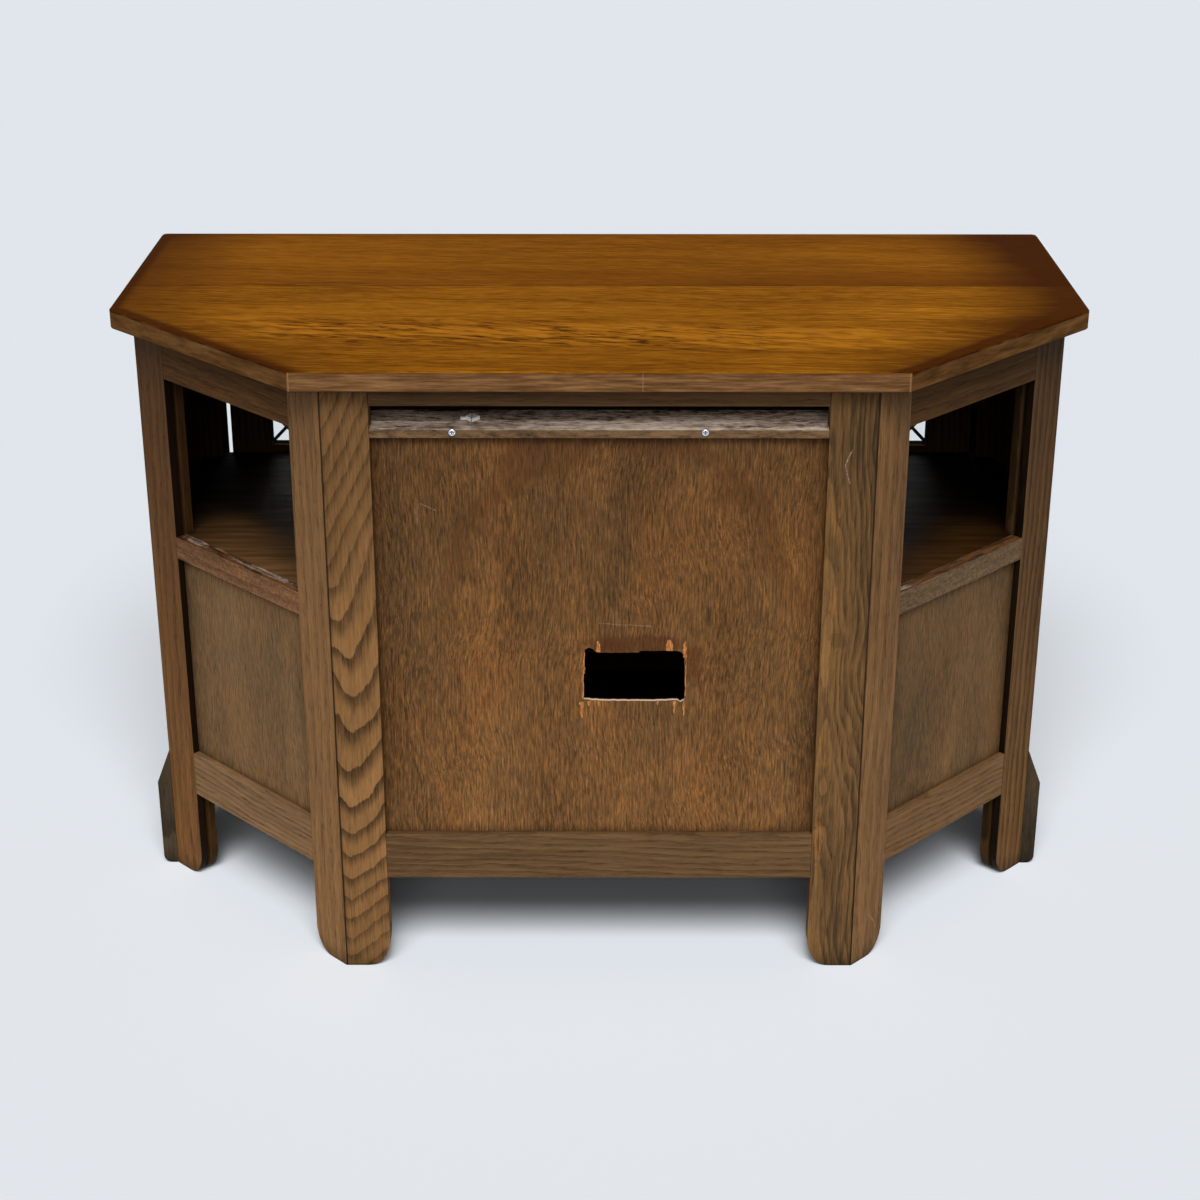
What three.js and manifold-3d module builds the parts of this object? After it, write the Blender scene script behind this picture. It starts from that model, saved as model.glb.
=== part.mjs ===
// Corner cabinet in stained oak: a canted top on frame and panel walls, open slots at the back
// corners, one shelf, and two glazed doors at the front.
// Millimetres, +Z up. The doors face -Y, the canted back faces +Y. The origin is on the floor,
// under the middle of the top. Left and right are as seen from the front.

import * as THREE from 'three';
import { mergeVertices } from 'three/addons/utils/BufferGeometryUtils.js';
import Module from 'manifold-3d';

// Overall size and the plan of the top
const height = 730;
const topWidth = 1100;
const topDepth = 568;
const topThickness = 23;
const topCornerRadius = 8;
const topArris = 1.5;

// Plan of the body under the top
const rearOverhang = 22;
const sideOverhang = 19;
const frontOverhang = 28;
const cantOverhang = 34.65;
const cantRun = 237;

// Frame stock: stiles and rails share one thickness and one groove
const frameThickness = 25;
const stileWidth = 53;
const rearStileWidth = 52;
const grooveSetback = 8.5;
const grooveWidth = 6.5;
const grooveDepth = 8;
const jointGap = 0.3;
const overrun = 5;

// Heights of the rails above the floor
const bottomRailUnderside = 118;
const bottomRailHeight = 56;
const topRailHeight = 57;
const midRailTop = 457;
const midRailHeight = 26.5;
const midGrooveDepth = 5;

// The slot across the top of the back, and the flat rail below it
const rearTopRailHeight = 22;
const slotHeight = 26;
const slotRailDepth = 84;
const slotRailThickness = 20;
const slotRailFascia = 9;
const slotRailWeb = 3.5;
const slotRailWing = 30;

// Feet: the leg of each stile is rounded off on its inner edge
const footRise = 34;
const footRun = 26;
const footBlockThickness = 17;
const footBlockHeight = 158;
const footBlockBevel = 44;
const footBlockRounding = 10;

// Panels
const plyThickness = 6;
const panelEngagement = 7;
const fieldMargin = 14;
const fieldBevel = 18;
const fieldRise = 4;

// The sawn cable hole in the back panel, from the middle of the cabinet and from the floor
const cableHoleLeft = 94.5;
const cableHoleRight = 19;
const cableHoleBottom = 338;
const cableHoleTop = 400.5;

// Shelf and cabinet floor, both housed in the pieces round them
const shelfThickness = 16;
const shelfSetback = 25;
const shelfHousing = 8;
const tongueFit = 0.3;
const floorThickness = 16;
const floorRise = 12;
const floorHousing = 7;

// Front posts
const postWidth = 51.5;
const postDepth = 45;

// Doors. The right hinge gap is wide because that door has been planed to fit.
const doorThickness = 20;
const doorGap = 2;
const doorMeetingGap = 3;
const doorHingeGapLeft = 3.2;
const doorHingeGapRight = 7.5;
const doorRailHeight = 53;
const doorMidRailTop = 465;
const meetingStileWidth = 53;
const glassMargin = 57;
const doorGrooveWidth = 6.5;

// Leaded lights
const glassThickness = 3;
const cameWidth = 3;
const cameThickness = 5;
const latticeColumns = 9;
const latticeRows = 3;
const lightFit = 0.5;

// Each door turns on two steel pins let into its hinge stile
const pivotInset = 10;
const pivotSetback = 8;
const pinRadius = 3;
const pinInDoor = 16;
const pinInRail = 10;
const pinSides = 16;

// Door knobs
const knobHeight = 435;
const knobRadius = 14;
const knobReach = 24;
const knobNeckRadius = 6;
const knobRoseRadius = 10;
const knobRoseThickness = 3;
const knobSpindleRadius = 3;
const knobSpindleLength = 10;
const knobSides = 16;

// The double magnetic catch behind the meeting stiles
const catchWidth = 84;
const catchDepth = 16;
const catchHeight = 13;
const catchFlangeThickness = 3;
const catchFlangeHeight = 20;

// Screws of the flat rail at the back
const screwHeadRadius = 4;
const screwHeadHeight = 2.4;
const screwShankRadius = 1.5;
const screwShankLength = 7;
const screwDrop = 2.5;
const screwLeftInset = 130.5;
const screwRightInset = 87.5;
const screwSides = 16;
const recessWidth = 1;
const recessLength = 4.6;
const recessDepth = 1.4;

const arcSteps = 8;
const quarterTurn = Math.PI / 2;

// Places worked out from the sizes above
const bodyTop = height - topThickness;
const rearY = topDepth / 2 - rearOverhang;
const frontY = frontOverhang - topDepth / 2;
const sideX = topWidth / 2 - sideOverhang;
const rearX = sideX - cantRun;
const topCant = sideOverhang + rearOverhang + cantRun - cantOverhang * Math.SQRT2;
const cornerY = rearY - cantRun;
const cantLength = Math.hypot(cantRun, cantRun);
const mitreRun = frameThickness * Math.tan(quarterTurn / 4);
const mitreTrim = jointGap / 2;
const grooveBack = grooveSetback + grooveWidth;
const bottomRailTop = bottomRailUnderside + bottomRailHeight;
const topRailUnderside = bodyTop - topRailHeight;
const midRailUnderside = midRailTop - midRailHeight;
const slotTop = bodyTop - rearTopRailHeight;
const slotBottom = slotTop - slotHeight;
const fasciaUnderside = slotBottom - slotRailFascia;
const shelfTop = midRailTop;
const shelfUnderside = shelfTop - shelfThickness;
const floorUnderside = bottomRailUnderside + floorRise;
const floorTop = floorUnderside + floorThickness;
const postInnerX = sideX - postWidth;
const postRearY = frontY + postDepth;
const sideLength = cornerY - postRearY;
const doorBottom = bottomRailTop + doorGap;
const doorTop = topRailUnderside - doorGap;
const doorMidRailUnderside = doorMidRailTop - doorRailHeight;
const doorGrooveSetback = (doorThickness - doorGrooveWidth) / 2;
const glassOuterX = postInnerX - glassMargin;
const glassInnerX = doorMeetingGap / 2 + meetingStileWidth;
const glassBottom = doorMidRailTop;
const glassTop = doorTop - doorRailHeight;

// Finishes
const oak = wood(0x5f4630, 0.62);
const oakPale = wood(0x6b4f35, 0.62);
const oakTop = wood(0x8a5318, 0.38);
const oakRough = wood(0x5d4a42, 0.85);
const oakFoot = wood(0x3c322a, 0.6);
const plywood = wood(0x6f4e31, 0.6);
const shelfWood = wood(0x6a4526, 0.5);
const zinc = new THREE.MeshStandardMaterial({ color: 0xc9ccd0, roughness: 0.3, metalness: 1 });
const steel = new THREE.MeshStandardMaterial({ color: 0x8d8f92, roughness: 0.35, metalness: 1 });
const brass = new THREE.MeshStandardMaterial({ color: 0x8a6a34, roughness: 0.4, metalness: 1 });
const plastic = new THREE.MeshStandardMaterial({ color: 0x33271d, roughness: 0.5, metalness: 0 });
const glass = new THREE.MeshStandardMaterial({ color: 0xc9d2cf, roughness: 0.1, metalness: 0 });

function wood(color, roughness) {
  return new THREE.MeshStandardMaterial({ color, roughness, metalness: 0 });
}

const wasm = await Module();
wasm.setup();

const model = new THREE.Group();

// A closed geometry as a solid that can be joined and cut
function solid(geometry) {
  const bare = geometry.clone();
  bare.deleteAttribute('normal');
  bare.deleteAttribute('uv');
  const merged = mergeVertices(bare);
  const vertProperties = new Float32Array(merged.attributes.position.array);
  const triVerts = new Uint32Array(merged.index.array);
  return new wasm.Manifold(new wasm.Mesh({ numProp: 3, vertProperties, triVerts }));
}

// A solid back as a geometry
function toGeometry(shape) {
  const mesh = shape.getMesh();
  const geometry = new THREE.BufferGeometry();
  geometry.setAttribute('position', new THREE.BufferAttribute(mesh.vertProperties, 3));
  geometry.setIndex(new THREE.BufferAttribute(mesh.triVerts, 1));
  geometry.computeVertexNormals();
  return geometry;
}

function add(group, name, shape, material) {
  const mesh = new THREE.Mesh(toGeometry(shape), material);
  mesh.name = name;
  group.add(mesh);
  return mesh;
}

function join(shapes) {
  return shapes.reduce((whole, shape) => whole.add(shape));
}

function block(x0, x1, y0, y1, z0, z1) {
  const geometry = new THREE.BoxGeometry(x1 - x0, y1 - y0, z1 - z0);
  geometry.translate((x0 + x1) / 2, (y0 + y1) / 2, (z0 + z1) / 2);
  return solid(geometry);
}

function outline(points) {
  return new THREE.Shape(points.map(([a, b]) => new THREE.Vector2(a, b)));
}

function extruded(shape, length) {
  return new THREE.ExtrudeGeometry(shape, { depth: length, bevelEnabled: false });
}

// Points are x and y; the solid rises from z0 to z1
function planSolid(points, z0, z1) {
  const geometry = extruded(outline(points), z1 - z0);
  geometry.translate(0, 0, z0);
  return solid(geometry);
}

// Points are x and z; the solid runs from y0 to y1
function elevationSolid(points, y0, y1) {
  const geometry = extruded(outline(points), y1 - y0);
  geometry.rotateX(quarterTurn);
  geometry.translate(0, y1, 0);
  return solid(geometry);
}

// Points are y and z; the solid runs from x0 to x1
function sectionSolid(points, x0, x1) {
  const geometry = extruded(outline(points), x1 - x0);
  const toX = new THREE.Vector3(0, 1, 0);
  const toY = new THREE.Vector3(0, 0, 1);
  const toZ = new THREE.Vector3(1, 0, 0);
  geometry.applyMatrix4(new THREE.Matrix4().makeBasis(toX, toY, toZ));
  geometry.translate(x0, 0, 0);
  return solid(geometry);
}

// Points on an arc of an ellipse, between two angles in radians
function arc(centreX, centreY, radiusX, radiusY, from, to) {
  const points = [];
  for (let step = 0; step <= arcSteps; step += 1) {
    const angle = from + (to - from) * step / arcSteps;
    points.push([centreX + radiusX * Math.cos(angle), centreY + radiusY * Math.sin(angle)]);
  }
  return points;
}

function mirrored(points, side) {
  return points.map(([a, b]) => [a * side, b]);
}

// A wall's own frame: x runs along it to the right as seen from outside, y runs inward from its
// outer face, z is up.
function wall(x, y, turn) {
  const group = new THREE.Group();
  group.position.set(x, y, 0);
  group.rotation.z = turn;
  group.updateMatrixWorld(true);
  model.add(group);
  return group;
}

// A block given in a wall's frame, as a solid in the cabinet's frame
function blockInWall(group, x0, x1, y0, y1, z0, z1) {
  const geometry = new THREE.BoxGeometry(x1 - x0, y1 - y0, z1 - z0);
  geometry.translate((x0 + x1) / 2, (y0 + y1) / 2, (z0 + z1) / 2);
  geometry.applyMatrix4(group.matrixWorld);
  return solid(geometry);
}

const rearWall = wall(0, rearY, quarterTurn * 2);
const frontWall = wall(0, frontY, 0);
const cantX = (rearX + sideX) / 2;
const cantY = (rearY + cornerY) / 2;
const sideY = (postRearY + cornerY) / 2;
const cantWalls = {
  left: { group: wall(-cantX, cantY, -quarterTurn * 3 / 2), rearSide: -1 },
  right: { group: wall(cantX, cantY, quarterTurn * 3 / 2), rearSide: 1 },
};
const sideWalls = {
  left: { group: wall(-sideX, sideY, -quarterTurn), rearSide: -1 },
  right: { group: wall(sideX, sideY, quarterTurn), rearSide: 1 },
};

// The side view of a leg: straight at the corner, rounded off under its inner edge
function legOutline(outer, edge) {
  const underEdge = arc(edge + footRun, footRise, footRun, footRise, -quarterTurn, -quarterTurn * 2);
  return [[outer, 0], ...underEdge, [edge, bodyTop], [outer, bodyTop]];
}

// A stile that reaches the floor. Its outer edge is mitred to the next wall, and the groove for
// rails and panels runs the whole length of its inner edge.
function stile(side, halfLength, width) {
  const outer = halfLength - mitreTrim;
  const edge = halfLength - width;
  const plan = [
    [outer, 0],
    [outer - mitreRun, frameThickness],
    [edge, frameThickness],
    [edge, grooveBack],
    [edge + grooveDepth, grooveBack],
    [edge + grooveDepth, grooveSetback],
    [edge, grooveSetback],
    [edge, 0],
  ];
  const board = planSolid(mirrored(plan, side), 0, bodyTop);
  const leg = elevationSolid(mirrored(legOutline(outer, edge), side), -overrun, frameThickness + overrun);
  return board.intersect(leg);
}

// A rail with a stub tenon at each end that fills the stiles' grooves
function rail(points, length, tenonBottom, tenonTop) {
  const shoulder = length / 2 - jointGap;
  const tenonEnd = length / 2 + grooveDepth - jointGap;
  const front = grooveSetback + jointGap;
  const back = grooveBack - jointGap;
  const body = sectionSolid(points, -shoulder, shoulder);
  return body.add(block(-tenonEnd, tenonEnd, front, back, tenonBottom, tenonTop));
}

function bottomRail(length) {
  const grooveFloor = bottomRailTop - grooveDepth;
  const housing = frameThickness - floorHousing;
  const points = [
    [0, bottomRailUnderside],
    [0, bottomRailTop],
    [grooveSetback, bottomRailTop],
    [grooveSetback, grooveFloor],
    [grooveBack, grooveFloor],
    [grooveBack, bottomRailTop],
    [frameThickness, bottomRailTop],
    [frameThickness, floorTop + tongueFit],
    [housing, floorTop + tongueFit],
    [housing, floorUnderside],
    [frameThickness, floorUnderside],
    [frameThickness, bottomRailUnderside],
  ];
  return rail(points, length, bottomRailUnderside + grooveDepth, grooveFloor);
}

function topRail(length) {
  const grooveRoof = topRailUnderside + grooveDepth;
  const points = [
    [0, topRailUnderside],
    [grooveSetback, topRailUnderside],
    [grooveSetback, grooveRoof],
    [grooveBack, grooveRoof],
    [grooveBack, topRailUnderside],
    [frameThickness, topRailUnderside],
    [frameThickness, bodyTop],
    [0, bodyTop],
  ];
  return rail(points, length, grooveRoof, bodyTop - grooveDepth);
}

// The rail between panel and opening: grooved on both edges, and cut down behind for the shelf
function midRail(length) {
  const upperGroove = midRailTop - grooveDepth;
  const lowerGroove = midRailUnderside + midGrooveDepth;
  const points = [
    [0, midRailUnderside],
    [grooveSetback, midRailUnderside],
    [grooveSetback, lowerGroove],
    [grooveBack, lowerGroove],
    [grooveBack, midRailUnderside],
    [frameThickness, midRailUnderside],
    [frameThickness, shelfUnderside],
    [grooveBack, shelfUnderside],
    [grooveBack, upperGroove],
    [grooveSetback, upperGroove],
    [grooveSetback, midRailTop],
    [0, midRailTop],
  ];
  return rail(points, length, lowerGroove, upperGroove);
}

// A sheet that stands in the grooves on all sides
function panelInGroove(length, z0, z1) {
  const half = length / 2 + panelEngagement;
  const front = grooveSetback + (grooveWidth - plyThickness) / 2;
  return block(-half, half, front, front + plyThickness, z0, z1);
}

// The raised field of a panel: a low block with sloping sides, out towards the face
function raisedField(x0, x1, z0, z1, backFace) {
  const inset = fieldMargin + fieldBevel;
  const core = outline([
    [x0 + inset, z0 + inset],
    [x1 - inset, z0 + inset],
    [x1 - inset, z1 - inset],
    [x0 + inset, z1 - inset],
  ]);
  const geometry = new THREE.ExtrudeGeometry(core, {
    depth: plyThickness,
    bevelThickness: fieldRise,
    bevelSize: fieldBevel,
    bevelSegments: 1,
  });
  geometry.rotateX(quarterTurn);
  geometry.translate(0, backFace, 0);
  const keepFront = block(x0, x1, backFace - plyThickness - fieldRise, backFace, z0, z1);
  return solid(geometry).intersect(keepFront);
}

// The canted board on top, with its corners and arrises eased
function topBoard() {
  const halfWidth = topWidth / 2;
  const halfDepth = topDepth / 2;
  const halfRear = halfWidth - topCant;
  const round = topCornerRadius;
  const turnRun = round * Math.tan(quarterTurn / 4);
  const corner = halfDepth - topCant - turnRun;
  const half = [
    [halfRear, halfDepth],
    [halfWidth - round + round * Math.cos(quarterTurn / 2), corner + round * Math.sin(quarterTurn / 2)],
    ...arc(halfWidth - round, corner, round, round, quarterTurn / 2, 0).slice(1),
    ...arc(halfWidth - round, round - halfDepth, round, round, 0, -quarterTurn),
  ];
  const points = [...half, ...mirrored(half, -1).reverse()];
  const geometry = new THREE.ExtrudeGeometry(outline(points), {
    depth: topThickness - topArris * 2,
    bevelThickness: topArris,
    bevelSize: topArris,
    bevelOffset: -topArris,
    bevelSegments: 1,
  });
  geometry.translate(0, 0, bodyTop + topArris);
  return solid(geometry);
}

// The flat rail under the slot, rebated below for the top edge of the back panel. Behind the stiles
// it is wider than the opening, by a wing at each end.
function slotRail(length) {
  const railUnderside = slotBottom - slotRailThickness;
  const grooveRoof = slotBottom - slotRailWeb;
  const points = [
    [0, fasciaUnderside],
    [grooveSetback, fasciaUnderside],
    [grooveSetback, grooveRoof],
    [grooveBack, grooveRoof],
    [grooveBack, railUnderside],
    [slotRailDepth, railUnderside],
    [slotRailDepth, slotBottom],
    [0, slotBottom],
  ];
  const wingEnd = length / 2 + slotRailWing;
  const behind = frameThickness + jointGap;
  const wings = block(-wingEnd, wingEnd, behind, slotRailDepth, railUnderside, slotBottom);
  return rail(points, length, grooveRoof, slotBottom).add(wings);
}

function rearTopRail(length) {
  const points = [[0, slotTop], [frameThickness, slotTop], [frameThickness, bodyTop], [0, bodyTop]];
  return rail(points, length, slotTop + overrun, bodyTop);
}

// A round solid whose axis runs along y in a wall's frame, from [radius, depth] points
function turned(points, sides, x, y, z) {
  const profile = points.map(([radius, reach]) => new THREE.Vector2(radius, reach));
  const geometry = new THREE.LatheGeometry(profile, sides);
  geometry.translate(x, y, z);
  return solid(geometry);
}

// A pan head screw with a cross recess, driven in from outside at the wall's face
function screw(x, z) {
  const half = screwHeadRadius / 2;
  const profile = [
    [0, -screwHeadHeight],
    [half, -screwHeadHeight],
    [screwHeadRadius * Math.cos(quarterTurn / 3), -screwHeadHeight * Math.sin(quarterTurn * 2 / 3)],
    [screwHeadRadius, -screwHeadHeight / 2],
    [screwHeadRadius, 0],
    [screwShankRadius, 0],
    [screwShankRadius, screwShankLength],
    [0, screwShankLength],
  ];
  const arm = recessLength / 2;
  const bar = recessWidth / 2;
  const front = -screwHeadHeight - overrun;
  const floor = recessDepth - screwHeadHeight;
  const across = block(x - arm, x + arm, front, floor, z - bar, z + bar);
  const upright = block(x - bar, x + bar, front, floor, z - arm, z + arm);
  return turned(profile, screwSides, x, 0, z).subtract(across).subtract(upright);
}

function cylinderUp(radius, z0, z1, x, y, sides) {
  const geometry = new THREE.CylinderGeometry(radius, radius, z1 - z0, sides);
  geometry.rotateX(quarterTurn);
  geometry.translate(x, y, (z0 + z1) / 2);
  return solid(geometry);
}

function cylinderThrough(radius, y0, y1, x, z, sides) {
  const geometry = new THREE.CylinderGeometry(radius, radius, y1 - y0, sides);
  geometry.translate(x, (y0 + y1) / 2, z);
  return solid(geometry);
}

// The top and the back
add(model, 'top_board', topBoard(), oakTop);

const rearOpening = (rearX - rearStileWidth) * 2;
const screwHeight = slotBottom - screwDrop;
const screwPlaces = { left: rearOpening / 2 - screwLeftInset, right: screwRightInset - rearOpening / 2 };
add(rearWall, 'rear_stile_left', stile(1, rearX, rearStileWidth), oak);
add(rearWall, 'rear_stile_right', stile(-1, rearX, rearStileWidth), oakPale);
add(rearWall, 'rear_top_rail', rearTopRail(rearOpening), oak);
add(rearWall, 'rear_bottom_rail', bottomRail(rearOpening), oak);

const shankHole = screwShankRadius + jointGap;
const shankHoleEnd = screwShankLength + jointGap;
const screwHoles = Object.values(screwPlaces).map((x) => (
  cylinderThrough(shankHole, -overrun, shankHoleEnd, x, screwHeight, screwSides)
));
add(rearWall, 'rear_slot_rail', slotRail(rearOpening).subtract(join(screwHoles)), oakRough);
for (const [name, x] of Object.entries(screwPlaces)) {
  add(rearWall, `rear_screw_${name}`, screw(x, screwHeight), zinc);
}

const rearPanelTop = slotBottom - slotRailWeb - jointGap;
const rearPanelBottom = bottomRailTop - panelEngagement;
const cableHole = block(
  -cableHoleRight, cableHoleLeft, -overrun, frameThickness + overrun, cableHoleBottom, cableHoleTop,
);
const rearPanel = panelInGroove(rearOpening, rearPanelBottom, rearPanelTop).subtract(cableHole);
add(rearWall, 'rear_panel', rearPanel, plywood);

// The two canted walls: open above the mid rail, panelled below it
const cantOpening = cantLength - stileWidth * 2;
for (const [name, { group, rearSide }] of Object.entries(cantWalls)) {
  const lowerPanelTop = midRailUnderside + midGrooveDepth - jointGap;
  const lowerPanel = panelInGroove(cantOpening, bottomRailTop - panelEngagement, lowerPanelTop);
  add(group, `cant_${name}_rear_stile`, stile(rearSide, cantLength / 2, stileWidth), oak);
  add(group, `cant_${name}_corner_stile`, stile(-rearSide, cantLength / 2, stileWidth), oakPale);
  add(group, `cant_${name}_top_rail`, topRail(cantOpening), oak);
  add(group, `cant_${name}_mid_rail`, midRail(cantOpening), oak);
  add(group, `cant_${name}_bottom_rail`, bottomRail(cantOpening), oak);
  add(group, `cant_${name}_panel`, lowerPanel, plywood);
}

// The short straight sides run from the rear corner to the front post, with one stile, at the rear
const sideOpening = sideLength - stileWidth;

function sideShift(rearSide) {
  return -rearSide * stileWidth / 2;
}

for (const [name, { group, rearSide }] of Object.entries(sideWalls)) {
  const z0 = bottomRailTop - panelEngagement;
  const z1 = topRailUnderside + panelEngagement;
  const backFace = grooveSetback + (grooveWidth + plyThickness) / 2;
  const field = raisedField(-sideOpening / 2, sideOpening / 2, bottomRailTop, topRailUnderside, backFace);
  const panel = panelInGroove(sideOpening, z0, z1).add(field);
  add(group, `side_${name}_stile`, stile(rearSide, sideLength / 2, stileWidth), oak);
  const pieces = [
    add(group, `side_${name}_top_rail`, topRail(sideOpening), oak),
    add(group, `side_${name}_bottom_rail`, bottomRail(sideOpening), oak),
    add(group, `side_${name}_panel`, panel, oakPale),
  ];
  for (const piece of pieces) piece.position.x = sideShift(rearSide);
}

const doors = {
  left: { side: -1, hingeGap: doorHingeGapLeft },
  right: { side: 1, hingeGap: doorHingeGapRight },
};

function pivotX({ side, hingeGap }) {
  return side * (postInnerX - hingeGap - pivotInset);
}

// The two pins of a door: half in the stile, half in the rail above or below it
function pinSpans() {
  return {
    upper: [doorTop - pinInDoor, doorTop + doorGap + pinInRail],
    lower: [doorBottom - doorGap - pinInRail, doorBottom + pinInDoor],
  };
}

function pinHoles(door) {
  const radius = pinRadius + jointGap;
  return join(Object.values(pinSpans()).map(([z0, z1]) => (
    cylinderUp(radius, z0 - jointGap, z1 + jointGap, pivotX(door), pivotSetback, pinSides)
  )));
}

// The heights of the front rails' tenons, which the posts' mortises follow
const lowTenon = [bottomRailUnderside + grooveDepth, bottomRailTop - grooveDepth];
const highTenon = [topRailUnderside + grooveDepth, bodyTop - grooveDepth];

function frontMortise(side, tenonBottom, tenonTop) {
  const near = postInnerX - overrun;
  const far = postInnerX + grooveDepth;
  const ends = side > 0 ? [near, far] : [-far, -near];
  return block(ends[0], ends[1], grooveSetback, grooveBack, tenonBottom - jointGap, tenonTop + jointGap);
}

// The corner of the shelf that enters a post, grown by a fit, in the front wall's frame
function shelfInPost(side, fit) {
  const reach = postInnerX + shelfHousing + fit;
  const ends = side > 0 ? [postInnerX - overrun, reach] : [-reach, overrun - postInnerX];
  const back = postDepth + overrun;
  return block(ends[0], ends[1], shelfSetback - fit, back, shelfUnderside, shelfTop + fit);
}

// A front post: solid, grooved behind for the side wall, rounded off at its foot
function frontPost(side) {
  const inner = postInnerX;
  const grooveOuter = sideX - grooveSetback;
  const grooveInner = sideX - grooveBack;
  const grooveEnd = postDepth - grooveDepth;
  const plan = [
    [inner, 0],
    [sideX, 0],
    [sideX, postDepth],
    [grooveOuter, postDepth],
    [grooveOuter, grooveEnd],
    [grooveInner, grooveEnd],
    [grooveInner, postDepth],
    [inner, postDepth],
  ];
  const board = planSolid(mirrored(plan, side), 0, bodyTop);
  const leg = elevationSolid(mirrored(legOutline(sideX, inner), side), -overrun, postDepth + overrun);
  const housed = shelfInPost(side, 0);
  const mortises = frontMortise(side, ...lowTenon).add(frontMortise(side, ...highTenon));
  return board.intersect(leg).subtract(mortises).subtract(housed);
}

const housing = frameThickness - floorHousing;
const frontBottomPoints = [
  [0, bottomRailUnderside],
  [0, bottomRailTop],
  [frameThickness, bottomRailTop],
  [frameThickness, floorTop + tongueFit],
  [housing, floorTop + tongueFit],
  [housing, floorUnderside],
  [frameThickness, floorUnderside],
  [frameThickness, bottomRailUnderside],
];
const frontTopPoints = [
  [0, topRailUnderside],
  [frameThickness, topRailUnderside],
  [frameThickness, bodyTop],
  [0, bodyTop],
];
add(frontWall, 'front_post_left', frontPost(-1), oak);
add(frontWall, 'front_post_right', frontPost(1), oak);
const sockets = join(Object.values(doors).map(pinHoles));
const frontLowRail = rail(frontBottomPoints, postInnerX * 2, ...lowTenon).subtract(sockets);
const frontHighRail = rail(frontTopPoints, postInnerX * 2, ...highTenon).subtract(sockets);
add(frontWall, 'front_bottom_rail', frontLowRail, oak);
add(frontWall, 'front_top_rail', frontHighRail, oak);

// Foot blocks: thick at the floor, bevelled back to the leg at the top
function blockSection(face) {
  const outer = face + footBlockThickness;
  const round = footBlockRounding;
  return [
    [face, 0],
    ...arc(outer - round, round, round, round, -quarterTurn, 0),
    [outer, footBlockHeight - footBlockBevel],
    [face, footBlockHeight],
  ];
}

function sideFootBlock(side) {
  const start = sideLength / 2 - stileWidth;
  const end = sideLength / 2;
  const section = blockSection(jointGap).map(([reach, z]) => [-reach, z]);
  const bar = sectionSolid(section, -end, end);
  const front = -footBlockThickness - overrun;
  const leg = elevationSolid(mirrored(legOutline(end, start), side), front, overrun);
  return bar.intersect(leg);
}

// The front block wraps round the post's outer corner, with its bevel mitred there
function frontFootBlock(side) {
  const outerX = sideX + footBlockThickness;
  const front = -footBlockThickness - overrun;
  const sideSection = [[postInnerX, 0], ...blockSection(sideX).slice(1, -1), [sideX, footBlockHeight]];
  sideSection.push([postInnerX, footBlockHeight]);
  const frontSection = [[postDepth, 0], ...blockSection(0).slice(1, -1).map(([r, z]) => [-r, z])];
  frontSection.push([0, footBlockHeight], [postDepth, footBlockHeight]);
  const alongY = elevationSolid(mirrored(sideSection, side), -footBlockThickness, postDepth);
  const ends = side > 0 ? [postInnerX, outerX] : [-outerX, -postInnerX];
  const alongX = sectionSolid(frontSection, ends[0], ends[1]);
  const leg = mirrored(legOutline(outerX, postInnerX), side);
  const rounded = elevationSolid(leg, front, postDepth + overrun);
  const postSpace = side > 0 ? [postInnerX - overrun, sideX] : [-sideX, overrun - postInnerX];
  const post = block(postSpace[0], postSpace[1], 0, postDepth + overrun, -overrun, height);
  return alongY.intersect(alongX).intersect(rounded).subtract(post);
}

for (const [name, { group, rearSide }] of Object.entries(sideWalls)) {
  add(group, `foot_block_rear_${name}`, sideFootBlock(rearSide), oakFoot);
  add(frontWall, `foot_block_front_${name}`, frontFootBlock(rearSide), oakFoot);
}

// The plan inside the walls, kept clear of them by the joint gap
function insidePlan(frontEdge) {
  const inset = frameThickness + jointGap;
  const run = inset * Math.tan(quarterTurn / 4);
  const right = [
    [sideX - inset, frontEdge],
    [sideX - inset, cornerY - run],
    [rearX - run, rearY - inset],
  ];
  return [...right, ...mirrored(right, -1).reverse()];
}

// A tongue that reaches out from the inside plan into a wall, between its stiles
function tongue(group, x0, x1, depth, z0, z1) {
  return blockInWall(group, x0 + jointGap, x1 - jointGap, depth, frameThickness + overrun, z0, z1);
}

// The space of a post in the cabinet's frame, grown by the joint gap and less a housing
function postClearance(side, housed) {
  const inner = postInnerX - jointGap + housed;
  const outer = sideX + overrun;
  const ends = side > 0 ? [inner, outer] : [-outer, -inner];
  return block(ends[0], ends[1], frontY - overrun, postRearY + jointGap, -overrun, height);
}

// The shelf lies in the rebates of the mid rails, and its front corners are housed in the posts
function shelf() {
  const plan = planSolid(insidePlan(frontY + shelfSetback), shelfUnderside, shelfTop);
  const half = cantOpening / 2;
  const tongues = Object.values(cantWalls).map(({ group }) => (
    tongue(group, -half, half, grooveBack + jointGap, shelfUnderside, shelfTop)
  ));
  const board = join([plan, ...tongues]);
  return board.subtract(postClearance(1, shelfHousing)).subtract(postClearance(-1, shelfHousing));
}
add(model, 'shelf', shelf(), shelfWood);

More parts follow.
